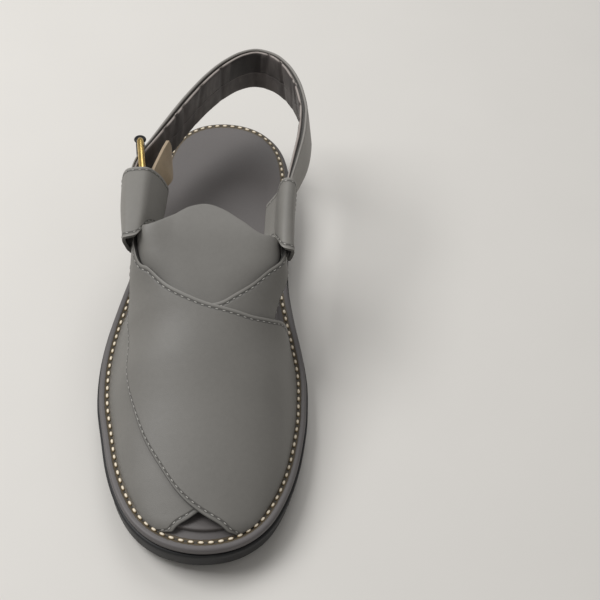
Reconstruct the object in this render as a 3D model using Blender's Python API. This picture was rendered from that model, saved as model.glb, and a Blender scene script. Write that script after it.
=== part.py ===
"""Peshawari chappal, a right-foot sandal: two crossed leather panels on a stitched rubber sole.

Metres, +Z up, the toe towards -Y and the inner side of the foot towards +X. The origin is the
middle of the heel's tread, on the floor. A station is a distance from the rearmost stitch of the
sole towards the toe. The upper is worked out on the surface of a last: a turn of -1 is the last's
outer edge, 0 its crest and 1 its inner edge.
"""
import math

import bmesh
import bpy
import numpy as np

# Sole
STITCH_LENGTH = 0.280
BALL_WIDTH = 0.0995
HEEL_WIDTH = 0.0705
HEEL_REST_STATION = 0.035
HEEL_RIM_HEIGHT = 0.0288
BALL_RIM_HEIGHT = 0.0163
TOE_RIM_HEIGHT = 0.0215
TOE_SPRING = 0.0058
WELT_MARGIN = 0.0043
WELT_THICKNESS = 0.0040
SOLE_LIP = 0.0011
SOLE_LIP_HEIGHT = 0.0030
SOLE_RIB_DEPTH = 0.0009
SOLE_CHAMFER = 0.0016
HEEL_BLOCK_HEIGHT = 0.0100
HEEL_BLOCK_LENGTH = 0.0760
HEEL_BLOCK_INSET = 0.0012
HEEL_BREAST_LEAN = 0.0040
LUG_GROOVE_DEPTH = 0.0025
LUG_GROOVE_WIDTH = 0.0032
LUG_PITCH = 0.0115
LUG_REACH = 0.0220
INSOLE_THICKNESS = 0.0022
INSOLE_DISH = 0.0006
INSOLE_DISH_MARGIN = 0.0110
INSOLE_HEEL_MARGIN = 0.0020
INSOLE_TOE_TUCK = 0.0030

# Upper
PANEL_THICKNESS = 0.0018
PANEL_BITE = 0.0010
UPPER_INSET = 0.0028
UPPER_TOE_REACH = 0.0009
FOOT_FLARE = 5.0
INSTEP_HEIGHT = 0.0650
TONGUE_THICKNESS = 0.0018
TAB_TURN = 0.62

# Ankle loops, heel strap and buckle
LOOP_WALL = 0.0017
ANKLE_STATION = 0.1400
OUTER_LOOP_FRONT = 0.1450
INNER_LOOP_FRONT = 0.1440
LOOP_LENGTH = 0.0465
LOOP_CREST = 0.0825
LOOP_SLANT = 0.0100
LOOP_SETBACK = 0.0080
LOOP_CURL = 0.0044
OUTER_LOOP_WIDTH = 0.0235
INNER_LOOP_WIDTH = 0.0150
STRAP_HEIGHT = 0.0275
STRAP_END_HEIGHT = 0.0200
STRAP_THICKNESS = 0.0050
STRAP_END_THICKNESS = 0.0028
STRAP_RISE = 0.0165
STRAP_LEAN = 0.0030
STRAP_EDGE = 0.0012
STRAP_SEAM_DEPTH = 0.0007
TAIL_THICKNESS = 0.0020
TAIL_HEIGHT = 0.0190
WIRE_RADIUS = 0.0018
BUCKLE_CORNER = 0.0038
BUCKLE_LENGTH = 0.0345
BUCKLE_FRONT_STATION = 0.1045
BUCKLE_SLACK = 0.0012
ROLLER_RADIUS = 0.0024

# Clearances
LAYER_GAP = 0.0003
SOFT_GAP = 0.0005

# Mesh density
SIDE_STEPS = 40
PANEL_COURSES = 20
PANEL_STEPS = 14
LOOP_POINTS = 22
LOOP_STEPS = 6
STRAP_STEPS = 40
TAIL_STEPS = 6
CORNER_STEPS = 4
ROLLER_SIDES = 16
SMOOTH_ANGLE = math.radians(40)

# Stitch line seen from above. Widths are shares of the local width, which passes from the heel's
# width to the ball's as ball_share goes from 0 to 1.
# columns: station share, outer half width, inner half width, ball share
OUTLINE_ROWS = (
    (0.000, 0.010, 0.010, 0.00),
    (0.018, -0.248, 0.267, 0.00),
    (0.054, -0.382, 0.400, 0.00),
    (0.107, -0.455, 0.477, 0.00),
    (0.161, -0.482, 0.502, 0.00),
    (0.214, -0.494, 0.508, 0.00),
    (0.286, -0.486, 0.474, 0.15),
    (0.357, -0.492, 0.444, 0.30),
    (0.429, -0.508, 0.424, 0.50),
    (0.500, -0.511, 0.427, 0.75),
    (0.571, -0.522, 0.453, 0.90),
    (0.643, -0.520, 0.474, 1.00),
    (0.714, -0.507, 0.479, 1.00),
    (0.786, -0.463, 0.462, 1.00),
    (0.857, -0.412, 0.424, 1.00),
    (0.911, -0.351, 0.372, 1.00),
    (0.946, -0.292, 0.320, 1.00),
    (0.982, -0.180, 0.212, 1.00),
    (1.000, 0.017, 0.017, 1.00),
)

# Height of the stitch line: the ball's rim, plus shares of what the heel and the toe stand higher.
# cover is 1 where the insole runs out under the stitches and 0 where the upper stands on the welt.
# tuck draws the insole back from the toe, under the panels' tips.
# columns: station share, heel share, toe share, cover, tuck
RIM_ROWS = (
    (0.000, 1.00, 0.00, 1.0, 0.0),
    (0.214, 0.92, 0.00, 1.0, 0.0),
    (0.304, 0.76, 0.00, 1.0, 0.0),
    (0.393, 0.52, 0.00, 0.8, 0.0),
    (0.500, 0.22, 0.00, 0.1, 0.0),
    (0.560, 0.10, 0.00, 0.0, 0.0),
    (0.607, 0.05, 0.00, 0.0, 0.0),
    (0.714, 0.00, 0.00, 0.0, 0.0),
    (0.857, 0.00, 0.34, 0.0, 0.0),
    (0.911, 0.00, 0.58, 0.0, 0.1),
    (0.956, 0.00, 0.79, 0.0, 0.6),
    (1.000, 0.00, 1.00, 0.0, 1.0),
    (1.040, 0.00, 1.20, 0.0, 1.0),
)

# Underside of the outsole, flat over the heel block and on the floor under the ball.
# columns: station share, share of the heel block's height, share of the toe spring
TREAD_ROWS = (
    (-0.05, 1.00, 0.00),
    (0.250, 1.00, 0.00),
    (0.340, 0.86, 0.00),
    (0.420, 0.38, 0.00),
    (0.480, 0.06, 0.00),
    (0.515, 0.00, 0.00),
    (0.760, 0.00, 0.00),
    (0.830, 0.00, 0.14),
    (0.910, 0.00, 0.46),
    (1.000, 0.00, 1.00),
    (1.040, 0.00, 1.30),
)

# The last above the welt. The widths are shares of the half width above the foot, where the last
# is drawn in; it flares to its full width at the welt.
# columns: station share, crest as a share of the instep height, outer width, inner width, squareness
LAST_ROWS = (
    (0.420, 1.015, 0.90, 0.98, 8.5),
    (0.446, 1.000, 0.89, 0.98, 8.5),
    (0.489, 0.969, 0.875, 0.98, 8.5),
    (0.529, 0.912, 0.84, 0.98, 6.4),
    (0.571, 0.846, 0.82, 0.92, 3.6),
    (0.623, 0.746, 0.85, 0.87, 2.4),
    (0.714, 0.580, 0.93, 0.92, 2.1),
    (0.786, 0.428, 0.97, 0.97, 2.0),
    (0.857, 0.289, 1.00, 1.00, 2.0),
    (0.911, 0.185, 1.00, 1.00, 2.0),
    (0.956, 0.094, 1.00, 1.00, 2.0),
    (0.982, 0.040, 1.00, 1.00, 2.0),
    (0.991, 0.008, 1.00, 1.00, 2.0),
)

# Each panel from its foot on the welt, over the crest, to its tab at the other side's ankle.
# Turns are towards the panel's own foot, and the far side's are negative.
# columns: along, rear edge station share and turn, front edge station share and turn
UPPER_PANEL_ROWS = (
    (0.00, 0.572, 1.00, 0.984, 1.00),
    (0.10, 0.587, 0.83, 0.984, 0.59),
    (0.20, 0.599, 0.66, 0.975, 0.24),
    (0.30, 0.618, 0.50, 0.959, -0.01),
    (0.40, 0.629, 0.30, 0.932, -0.20),
    (0.50, 0.625, 0.07, 0.887, -0.34),
    (0.60, 0.613, -0.11, 0.830, -0.47),
    (0.70, 0.592, -0.29, 0.755, -0.58),
    (0.80, 0.563, -0.42, 0.680, -0.62),
    (0.90, 0.540, -0.505, 0.600, -0.67),
    (0.96, 0.498, -0.550, 0.540, -0.62),
    (1.00, 0.462, -0.575, 0.470, -0.605),
)
LOWER_PANEL_ROWS = (
    (0.00, 0.530, 1.00, 0.984, 1.00),
    (0.10, 0.565, 0.82, 0.986, 0.60),
    (0.20, 0.596, 0.60, 0.973, 0.22),
    (0.30, 0.616, 0.36, 0.957, 0.02),
    (0.40, 0.625, 0.12, 0.932, -0.20),
    (0.50, 0.618, -0.09, 0.885, -0.34),
    (0.60, 0.600, -0.22, 0.825, -0.46),
    (0.70, 0.577, -0.34, 0.745, -0.54),
    (0.80, 0.553, -0.42, 0.665, -0.57),
    (0.90, 0.524, -0.505, 0.590, -0.57),
    (0.96, 0.496, -0.555, 0.535, -0.59),
    (1.00, 0.468, -0.580, 0.478, -0.61),
)

# The tongue from the outer ankle to the inner one.
# columns: along, rear edge station share and turn, front edge station share and turn
TONGUE_ROWS = (
    (0.00, 0.474, -0.585, 0.535, -0.60),
    (0.12, 0.487, -0.46, 0.585, -0.49),
    (0.26, 0.466, -0.33, 0.650, -0.30),
    (0.40, 0.444, -0.19, 0.678, -0.12),
    (0.50, 0.437, -0.04, 0.684, 0.02),
    (0.60, 0.446, 0.12, 0.678, 0.14),
    (0.72, 0.467, 0.27, 0.655, 0.28),
    (0.86, 0.491, 0.42, 0.595, 0.46),
    (1.00, 0.478, 0.585, 0.535, 0.59),
)


# Ankle loops seen along the foot, round their outer faces. The slant shares say how far back a
# point of the front and of the rear mouth stands.
# columns: across share from the outer face inwards, height share, front slant share, rear slant share
OUTER_LOOP_PROFILE = (
    (0.10, 0.00, 0.10, 0.04),
    (0.00, 0.10, 0.00, 0.00),
    (-0.01, 0.45, 0.00, 0.00),
    (0.01, 0.78, 0.00, 0.01),
    (0.08, 0.94, 0.00, 0.03),
    (0.20, 1.00, 0.00, 0.08),
    (0.47, 1.00, 0.18, 0.22),
    (0.62, 0.95, 0.60, 0.32),
    (0.74, 0.83, 1.15, 0.48),
    (0.86, 0.68, 1.42, 0.60),
    (0.97, 0.50, 1.50, 0.63),
    (1.00, 0.40, 1.50, 0.63),
    (0.95, 0.30, 1.40, 0.59),
    (0.74, 0.07, 0.90, 0.40),
    (0.42, 0.00, 0.42, 0.18),
)
INNER_LOOP_PROFILE = (
    (0.10, 0.00, 0.10, 0.05),
    (0.00, 0.10, 0.00, 0.00),
    (-0.01, 0.45, 0.00, 0.00),
    (0.01, 0.78, 0.00, 0.00),
    (0.09, 0.94, 0.00, 0.00),
    (0.28, 1.00, 0.00, 0.00),
    (0.46, 0.98, 0.14, 0.02),
    (0.57, 0.88, 0.52, 0.10),
    (0.63, 0.72, 0.88, 0.20),
    (0.67, 0.58, 1.12, 0.25),
    (0.80, 0.46, 1.18, 0.25),
    (0.93, 0.34, 1.18, 0.25),
    (1.00, 0.26, 1.18, 0.28),
    (0.94, 0.20, 1.00, 0.25),
    (0.50, 0.02, 0.50, 0.10),
)

# Ankle loops from the front mouth to the rear one. The outer face's place is a share of the half
# span between the ankles. The front mouth's lower lip is set back and curled inwards.
# columns: along, outer face's place, width share, crest's drop and height as shares of the full
# height, set-back share, curl share
OUTER_LOOP_ROWS = (
    (0.00, -1.105, 0.67, 0.05, 0.66, 1.00, 0.90),
    (0.25, -1.140, 0.80, 0.02, 0.86, 0.45, 0.30),
    (0.60, -1.195, 0.95, 0.00, 1.00, 0.05, 0.00),
    (1.00, -1.230, 1.03, 0.00, 1.00, 0.00, 0.00),
)
INNER_LOOP_ROWS = (
    (0.00, 1.085, 1.00, 0.13, 0.57, 1.00, 0.45),
    (0.25, 1.075, 1.00, 0.06, 0.79, 0.45, 0.20),
    (0.60, 1.078, 1.02, 0.01, 0.98, 0.05, 0.00),
    (1.00, 1.095, 1.04, 0.00, 1.00, 0.00, 0.00),
)

# Middle of the heel strap from inside the outer loop, round the heel, into the inner loop. An
# across of -1 is the outer ankle and 1 the inner one; rise is a share of the strap's rise, and body
# is 0 at the thin ends and 1 where the strap has its full height and thickness. lean is a share of
# how much further out its lower edge stands.
# columns: across, station share, rise, body, lean
STRAP_ROWS = (
    (-1.010, 0.421, 0.00, 0.0, 0.00),
    (-1.050, 0.371, 0.00, 0.0, 0.00),
    (-1.090, 0.332, 0.00, 0.0, 0.00),
    (-1.045, 0.292, -0.01, 0.0, 0.00),
    (-0.890, 0.249, 0.08, 0.3, 0.25),
    (-0.720, 0.209, 0.27, 0.9, 0.70),
    (-0.402, 0.133, 0.60, 1.0, 0.75),
    (-0.182, 0.087, 0.76, 1.0, 0.80),
    (0.045, 0.051, 0.88, 1.0, 0.90),
    (0.245, 0.031, 0.97, 1.0, 1.00),
    (0.463, 0.021, 1.00, 1.0, 1.10),
    (0.687, 0.031, 1.00, 1.0, 1.20),
    (0.863, 0.053, 0.94, 1.0, 1.35),
    (1.005, 0.087, 0.85, 1.0, 1.50),
    (1.098, 0.129, 0.76, 1.0, 1.55),
    (1.145, 0.171, 0.64, 1.0, 1.50),
    (1.124, 0.230, 0.50, 0.9, 1.20),
    (1.056, 0.284, 0.30, 0.6, 0.60),
    (0.984, 0.339, 0.08, 0.0, 0.00),
    (0.970, 0.421, 0.02, 0.0, 0.00),
)

# The strap's free end, inboard of the buckle, from its square cut to inside the outer loop.
# columns: station share, across of the top edge, across of the bottom edge, drop of the top and
# height as shares of the full height
TAIL_ROWS = (
    (0.243, -0.690, -0.665, 0.00, 0.42),
    (0.262, -0.735, -0.640, 0.02, 0.68),
    (0.285, -0.780, -0.620, 0.05, 0.86),
    (0.325, -0.850, -0.745, 0.09, 0.80),
    (0.357, -0.890, -0.800, 0.10, 0.70),
)


def cubic(knots, values, at):
    """Smooth curve through values at rising knots; it goes on level past either end."""
    knots = np.asarray(knots, float)
    values = np.asarray(values, float)
    at = np.clip(np.asarray(at, float), knots[0], knots[-1])
    steps = np.diff(knots)
    chords = np.diff(values) / steps
    slopes = np.concatenate([chords[:1], chords[:-1], chords[-1:]])
    slopes[1:-1] = (chords[:-1] * steps[1:] + chords[1:] * steps[:-1]) / (steps[:-1] + steps[1:])
    turning = np.concatenate([[False], chords[:-1] * chords[1:] <= 0, [False]])
    slopes[turning] = 0.0
    left = np.clip(np.searchsorted(knots, at, side="right") - 1, 0, len(steps) - 1)
    share = (at - knots[left]) / steps[left]
    rise = values[left + 1] - values[left]
    bend_in = slopes[left] * steps[left] - rise
    bend_out = rise - slopes[left + 1] * steps[left]
    return values[left] + rise * share + share * (1 - share) * ((1 - share) * bend_in + share * bend_out)


def column(rows, index, at):
    """Smooth reading of one column of a table whose first column rises."""
    return cubic([row[0] for row in rows], [row[index] for row in rows], at)


def to_y(station):
    """World y of a station."""
    return HEEL_REST_STATION - station


def to_station(y):
    """Station of a world y."""
    return HEEL_REST_STATION - y


def stitch_side(index, steps):
    """Points (x, y) of the stitch line along one side, heel to toe, closer together at the ends."""
    sweep = np.linspace(0.0, 1.0, steps + 1)
    knots = [math.acos(1 - 2 * row[0]) / math.pi for row in OUTLINE_ROWS]
    local = [HEEL_WIDTH + (BALL_WIDTH - HEEL_WIDTH) * row[3] for row in OUTLINE_ROWS]
    widths = [row[index] * width for row, width in zip(OUTLINE_ROWS, local)]
    x = cubic(knots, widths, sweep)
    stations = STITCH_LENGTH * (1 - np.cos(math.pi * sweep)) / 2
    return np.column_stack([x, to_y(stations)])


def outline(offset, steps=SIDE_STEPS):
    """Closed loop (x, y): heel, outer side, toe, inner side, moved outwards from the stitches.

    offset is a distance or a function of the station.
    """
    outer = stitch_side(1, steps)
    inner = stitch_side(2, steps)
    loop = np.vstack([outer, inner[-2:0:-1]])
    along = np.roll(loop, -1, axis=0) - np.roll(loop, 1, axis=0)
    along /= np.linalg.norm(along, axis=1)[:, None]
    outward = np.column_stack([along[:, 1], -along[:, 0]])
    if callable(offset):
        offset = offset(to_station(loop[:, 1]))[:, None]
    return loop + outward * offset


def rim_height(station):
    """Height of the stitch line over the floor."""
    share = station / STITCH_LENGTH
    heel = column(RIM_ROWS, 1, share) * (HEEL_RIM_HEIGHT - BALL_RIM_HEIGHT)
    return BALL_RIM_HEIGHT + heel + column(RIM_ROWS, 2, share) * (TOE_RIM_HEIGHT - BALL_RIM_HEIGHT)


def welt_top(station):
    """Height of the welt's top, an insole lower where the insole runs out over it."""
    cover = column(RIM_ROWS, 3, station / STITCH_LENGTH)
    return rim_height(station) - cover * (INSOLE_THICKNESS + LAYER_GAP)


def sole_top(station):
    """Height of the outsole's top."""
    return welt_top(station) - WELT_THICKNESS - LAYER_GAP


def tread_height(station):
    """Height of the outsole's underside."""
    share = station / STITCH_LENGTH
    return column(TREAD_ROWS, 1, share) * HEEL_BLOCK_HEIGHT + column(TREAD_ROWS, 2, share) * TOE_SPRING


def ring(offset, height):
    """Loop of points at an offset from the stitches, its height a function of the station."""
    loop = outline(offset)
    return np.column_stack([loop, height(to_station(loop[:, 1]))])


def level(height, shift=0.0):
    """A height function moved up or down."""
    return lambda station: height(station) + shift


def material(name, colour, roughness, metallic=0.0):
    """Plain principled material."""
    made = bpy.data.materials.new(name)
    made.use_nodes = True
    shader = made.node_tree.nodes["Principled BSDF"]
    shader.inputs["Base Color"].default_value = (*colour, 1.0)
    shader.inputs["Roughness"].default_value = roughness
    shader.inputs["Metallic"].default_value = metallic
    return made


def add_object(name, mesh, surface):
    """Object of a bmesh, with outward faces and smooth shading."""
    bmesh.ops.recalc_face_normals(mesh, faces=mesh.faces)
    data = bpy.data.meshes.new(name)
    mesh.to_mesh(data)
    mesh.free()
    data.shade_smooth()
    data.set_sharp_from_angle(angle=SMOOTH_ANGLE)
    made = bpy.data.objects.new(name, data)
    bpy.context.collection.objects.link(made)
    if surface:
        data.materials.append(surface)
    return made


def join_rings(mesh, rings, closed=True):
    """Bands of faces between rings of as many points each; returns the rings' vertices."""
    loops = [[mesh.verts.new(point) for point in points] for points in rings]
    for lower, upper in zip(loops, loops[1:]):
        count = len(lower) if closed else len(lower) - 1
        for near in range(count):
            far = (near + 1) % len(lower)
            mesh.faces.new((lower[near], lower[far], upper[far], upper[near]))
    return loops


def cap_across(mesh, loop):
    """Closes a sole-shaped loop with strips from the outer side straight across to the inner."""
    count = len(loop)
    half = count // 2
    for near in range(half):
        corners = (loop[near], loop[near + 1], loop[(count - near - 1) % count], loop[(count - near) % count])
        mesh.faces.new(tuple(dict.fromkeys(corners)))


def layer(name, rings, surface):
    """Solid of the sole from its lowest ring to its highest."""
    mesh = bmesh.new()
    loops = join_rings(mesh, rings)
    cap_across(mesh, loops[0])
    cap_across(mesh, loops[-1])
    return add_object(name, mesh, surface)


def add_boolean(target, other, operation):
    """Boolean modifier whose other object is only a helper."""
    other.hide_render = True
    other.display_type = "WIRE"
    modifier = target.modifiers.new(other.name, "BOOLEAN")
    modifier.operation = operation
    modifier.object = other


def boxes(name, places):
    """One helper mesh of boxes, each given by its lowest and highest corner."""
    mesh = bmesh.new()
    for low, high in places:
        made = bmesh.ops.create_cube(mesh, size=1.0)
        for vert in made["verts"]:
            vert.co = [low[axis] if vert.co[axis] < 0 else high[axis] for axis in range(3)]
    return add_object(name, mesh, None)


def side_extent(station, offset):
    """Outermost and innermost x of the outline at a station."""
    loop = outline(offset, steps=4 * SIDE_STEPS)
    half = len(loop) // 2
    outer = loop[:half + 1]
    inner = np.vstack([loop[:1], loop[:half - 1:-1]])
    return (np.interp(station, to_station(outer[:, 1]), outer[:, 0]),
            np.interp(station, to_station(inner[:, 1]), inner[:, 0]))


def lug_grooves(name, first, last, floor):
    """Cutters of the grooves between the edge lugs, on both sides from one station to another."""
    places = []
    count = int((last - first) / LUG_PITCH) + 1
    for station in first + LUG_PITCH * np.arange(count):
        low_x, high_x = side_extent(station, WELT_MARGIN + SOLE_LIP)
        base = floor(station)
        for edge, inward in ((low_x, 1), (high_x, -1)):
            span = sorted((edge - inward * SOLE_LIP, edge + inward * LUG_REACH))
            places.append(((span[0], to_y(station) - LUG_GROOVE_WIDTH / 2, base - WELT_THICKNESS),
                           (span[1], to_y(station) + LUG_GROOVE_WIDTH / 2, base + LUG_GROOVE_DEPTH)))
    return boxes(name, places)


def build_outsole(rubber):
    """Outsole: chamfered tread edge, a straight wall, a ribbed lip proud of the welt, edge lugs."""
    lip = WELT_MARGIN + SOLE_LIP
    wall = lip - SOLE_RIB_DEPTH
    rings = [
        ring(wall - SOLE_CHAMFER, tread_height),
        ring(wall, level(tread_height, SOLE_CHAMFER)),
        ring(wall, level(sole_top, -SOLE_LIP_HEIGHT)),
        ring(lip, level(sole_top, -SOLE_LIP_HEIGHT + SOLE_RIB_DEPTH)),
        ring(lip, level(sole_top, -SOLE_RIB_DEPTH)),
        ring(lip - SOLE_RIB_DEPTH, sole_top),
    ]
    outsole = layer("outsole", rings, rubber)
    flat_start = 0.525 * STITCH_LENGTH
    flat_end = 0.93 * STITCH_LENGTH
    add_boolean(outsole, lug_grooves("forefoot_grooves", flat_start, flat_end, tread_height), "DIFFERENCE")


def build_heel_block(rubber):
    """Heel block under the outsole, its breast leaning towards the toe."""
    wall = WELT_MARGIN + SOLE_LIP - SOLE_RIB_DEPTH - HEEL_BLOCK_INSET
    top = HEEL_BLOCK_HEIGHT - LAYER_GAP
    rings = [
        ring(wall - SOLE_CHAMFER, lambda station: np.zeros_like(station)),
        ring(wall, lambda station: np.full_like(station, SOLE_CHAMFER)),
        ring(wall, lambda station: np.full_like(station, top)),
    ]
    block = layer("heel_block", rings, rubber)
    breast = to_y(HEEL_BLOCK_LENGTH)
    front = boxes("heel_breast_cut", [((-BALL_WIDTH, breast - STITCH_LENGTH, -top), (BALL_WIDTH, breast, 2 * top))])
    for vert in front.data.vertices:
        if vert.co.y > breast - HEEL_BREAST_LEAN and vert.co.z > top:
            vert.co.y -= HEEL_BREAST_LEAN
    add_boolean(block, front, "DIFFERENCE")
    grooves = lug_grooves("heel_grooves", LUG_PITCH, HEEL_BLOCK_LENGTH - LUG_PITCH,
                          lambda station: 0.0)
    add_boolean(block, grooves, "DIFFERENCE")


def build_midsole(surface):
    """Midsole whose rounded edge is the welt."""
    round_edge = WELT_THICKNESS / 4
    rings = [
        ring(WELT_MARGIN - round_edge, level(sole_top, LAYER_GAP)),
        ring(WELT_MARGIN, level(sole_top, LAYER_GAP + round_edge)),
        ring(WELT_MARGIN, level(welt_top, -round_edge)),
        ring(WELT_MARGIN - round_edge, welt_top),
    ]
    layer("midsole", rings, surface)


def insole_edge(station):
    """Offset of the insole's edge: out past the stitches at the heel, inside the upper in front."""
    cover = column(RIM_ROWS, 3, station / STITCH_LENGTH)
    tuck = column(RIM_ROWS, 4, station / STITCH_LENGTH)
    inside = -(UPPER_INSET + 4 * SOFT_GAP)
    return inside + (INSOLE_HEEL_MARGIN - inside) * cover - INSOLE_TOE_TUCK * tuck


def build_insole(surface):
    """Insole, dished inside its rim."""
    base = level(welt_top, LAYER_GAP)
    top = level(welt_top, LAYER_GAP + INSOLE_THICKNESS)
    dish = level(top, -INSOLE_DISH)
    rings = [
        ring(insole_edge, base),
        ring(insole_edge, top),
        ring(lambda station: insole_edge(station) - INSOLE_DISH_MARGIN, dish),
    ]
    layer("insole", rings, surface)


def upper_edge(station):
    """Offset of the last's foot from the stitches, nearer to them at the toe."""
    near = np.clip((station / STITCH_LENGTH - 0.93) / 0.05, 0, 1)
    return UPPER_TOE_REACH * near * near * (3 - 2 * near) - UPPER_INSET


def last_surface(stations, turns, lifts):
    """Points on the last, or a lift outside it; all three are arrays of one shape."""
    share = stations / STITCH_LENGTH
    low_x, high_x = side_extent(stations, upper_edge)
    middle = (low_x + high_x) / 2
    drawn = np.where(turns < 0, column(LAST_ROWS, 2, share), column(LAST_ROWS, 3, share))
    width = drawn + (1 - drawn) * np.abs(turns) ** FOOT_FLARE
    reach = (high_x - low_x) / 2 * width + lifts
    crest = column(LAST_ROWS, 1, share) * INSTEP_HEIGHT + lifts
    square = column(LAST_ROWS, 4, share)
    angle = turns * math.pi / 2
    sides, tops = np.sin(angle), np.cos(angle)
    radius = (np.abs(sides) ** square + np.abs(tops) ** square) ** (-1 / square)
    foot = welt_top(stations) + LAYER_GAP
    return np.stack([middle + reach * radius * sides, to_y(stations), foot + crest * radius * tops], axis=-1)


def patch(name, rows, side, courses, steps, lift, surface):
    """Open sheet on the last between a table's rear and front edges.

    side is 1 where the table's turns are towards the inner side and -1 for its mirror image.
    """
    along = np.linspace(0.0, 1.0, courses + 1)
    across = np.linspace(0.0, 1.0, steps + 1)[None, :]
    rear_station, rear_turn, front_station, front_turn = (
        column(rows, index, along)[:, None] for index in (1, 2, 3, 4))
    stations = (rear_station + (front_station - rear_station) * across) * STITCH_LENGTH
    turns = side * (rear_turn + (front_turn - rear_turn) * across)
    lifts = np.broadcast_to(lift(along)[:, None], stations.shape)
    grid = last_surface(stations, turns, lifts)
    mesh = bmesh.new()
    join_rings(mesh, grid, closed=False)
    made = add_object(name, mesh, surface)
    if sum(face.normal.z for face in made.data.polygons) < 0:
        made.data.flip_normals()
    return made


def thicken(sheet, thickness):
    """Gives a sheet its wall on the outer side of its faces."""
    modifier = sheet.modifiers.new("wall", "SOLIDIFY")
    modifier.thickness = thickness
    modifier.offset = 1.0
    modifier.use_even_offset = True


def build_upper(leather):
    """Two crossed panels: the upper one's foot is on the inner side, the lower one's on the outer."""
    over = PANEL_THICKNESS - PANEL_BITE
    drape = 0.2
    main = patch("upper", UPPER_PANEL_ROWS, 1, PANEL_COURSES, PANEL_STEPS,
                 lambda along: over * np.clip(along / drape, 0, 1), leather)
    thicken(main, PANEL_THICKNESS + PANEL_BITE)
    under = patch("lower_panel", LOWER_PANEL_ROWS, -1, PANEL_COURSES, PANEL_STEPS,
                  lambda along: 0 * along, leather)
    thicken(under, PANEL_THICKNESS)
    add_boolean(main, under, "UNION")


def build_tongue(leather):
    """Tongue under both panels, its rear edge a bell."""
    inside = -(1.6 * SOFT_GAP + TONGUE_THICKNESS)
    tongue = patch("tongue", TONGUE_ROWS, 1, PANEL_COURSES, PANEL_STEPS // 2,
                   lambda along: inside + 0 * along, leather)
    thicken(tongue, TONGUE_THICKNESS)


def ankle_x(side):
    """Outer face of a panel's tab at the ankle; side is -1 outside, 1 inside."""
    lift = 2 * PANEL_THICKNESS if side < 0 else PANEL_THICKNESS
    point = last_surface(np.array([ANKLE_STATION]), np.array([side * TAB_TURN]), np.array([lift]))
    return float(point[0, 0])


def ankle_place(across):
    """x of a place between the ankles, from -1 at the outer one to 1 at the inner one."""
    outer, inner = ankle_x(-1), ankle_x(1)
    return (outer + inner) / 2 + across * (inner - outer) / 2


def strap_top_in_loops():
    """Height of the strap's top in the loops, under the buckle's wire and the loop's roof."""
    return LOOP_CREST - LOOP_WALL - 2 * SOFT_GAP - 2 * WIRE_RADIUS


def loop_height():
    """Height of a loop that takes the strap's end with the buckle's wire above and below it."""
    return 2 * LOOP_WALL + 6 * SOFT_GAP + 4 * WIRE_RADIUS + STRAP_END_HEIGHT


def strap_path(steps):
    """Middle line, top, height, thickness and lean of the heel strap, evenly spaced along it."""
    rows = np.array(STRAP_ROWS)
    knots = np.column_stack([ankle_place(rows[:, 0]), to_y(rows[:, 1] * STITCH_LENGTH)])
    reach = np.concatenate([[0], np.cumsum(np.linalg.norm(np.diff(knots, axis=0), axis=1))])
    along = np.linspace(0, reach[-1], steps + 1)
    middle = np.column_stack([cubic(reach, knots[:, 0], along), cubic(reach, knots[:, 1], along)])
    top = strap_top_in_loops() + STRAP_RISE * cubic(reach, rows[:, 2], along)
    body = cubic(reach, rows[:, 3], along)
    height = STRAP_END_HEIGHT + (STRAP_HEIGHT - STRAP_END_HEIGHT) * body
    thickness = STRAP_END_THICKNESS + (STRAP_THICKNESS - STRAP_END_THICKNESS) * body
    return middle, top, height, thickness, STRAP_LEAN * cubic(reach, rows[:, 4], along)


def build_heel_strap(leather):
    """Heel strap: a leather face folded over a lining, a groove between them on top.

    Its lower edge stands further out than its upper one.
    """
    middle, top, height, thickness, lean = strap_path(STRAP_STEPS)
    along = np.gradient(middle, axis=0)
    along /= np.linalg.norm(along, axis=1)[:, None]
    outward = np.column_stack([-along[:, 1], along[:, 0]])
    section = (
        (0.50, 0, -STRAP_EDGE),
        (0.32, 0, 0),
        (0.08, 0, 0),
        (0.00, 0, -STRAP_SEAM_DEPTH),
        (-0.10, 0, -STRAP_SEAM_DEPTH / 2),
        (-0.36, 0, -STRAP_SEAM_DEPTH),
        (-0.50, 0, -STRAP_EDGE - STRAP_SEAM_DEPTH),
        (-0.50, 1, STRAP_EDGE),
        (-0.32, 1, 0),
        (0.32, 1, 0),
        (0.50, 1, STRAP_EDGE),
    )
    rings = []
    for place, way, roof, tall, thick, out in zip(middle, outward, top, height, thickness, lean):
        rings.append([(*(place + way * (share * thick + down * out)), roof - down * tall + shift)
                      for share, down, shift in section])
    mesh = bmesh.new()
    loops = join_rings(mesh, rings)
    mesh.faces.new(loops[0])
    mesh.faces.new(loops[-1])
    add_object("heel_strap", mesh, leather)


def closed_curve(points, count):
    """Evenly numbered points on a smooth closed curve through a few."""
    points = np.asarray(points, float)
    total = len(points)
    places = np.arange(count) * total / count
    left = places.astype(int)
    share = (places - left)[:, None]
    before, start, end, after = (points[(left + step) % total] for step in (-1, 0, 1, 2))
    return 0.5 * (2 * start + (end - before) * share
                  + (2 * before - 5 * start + 4 * end - after) * share ** 2
                  + (3 * start - before - 3 * end + after) * share ** 3)


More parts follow.
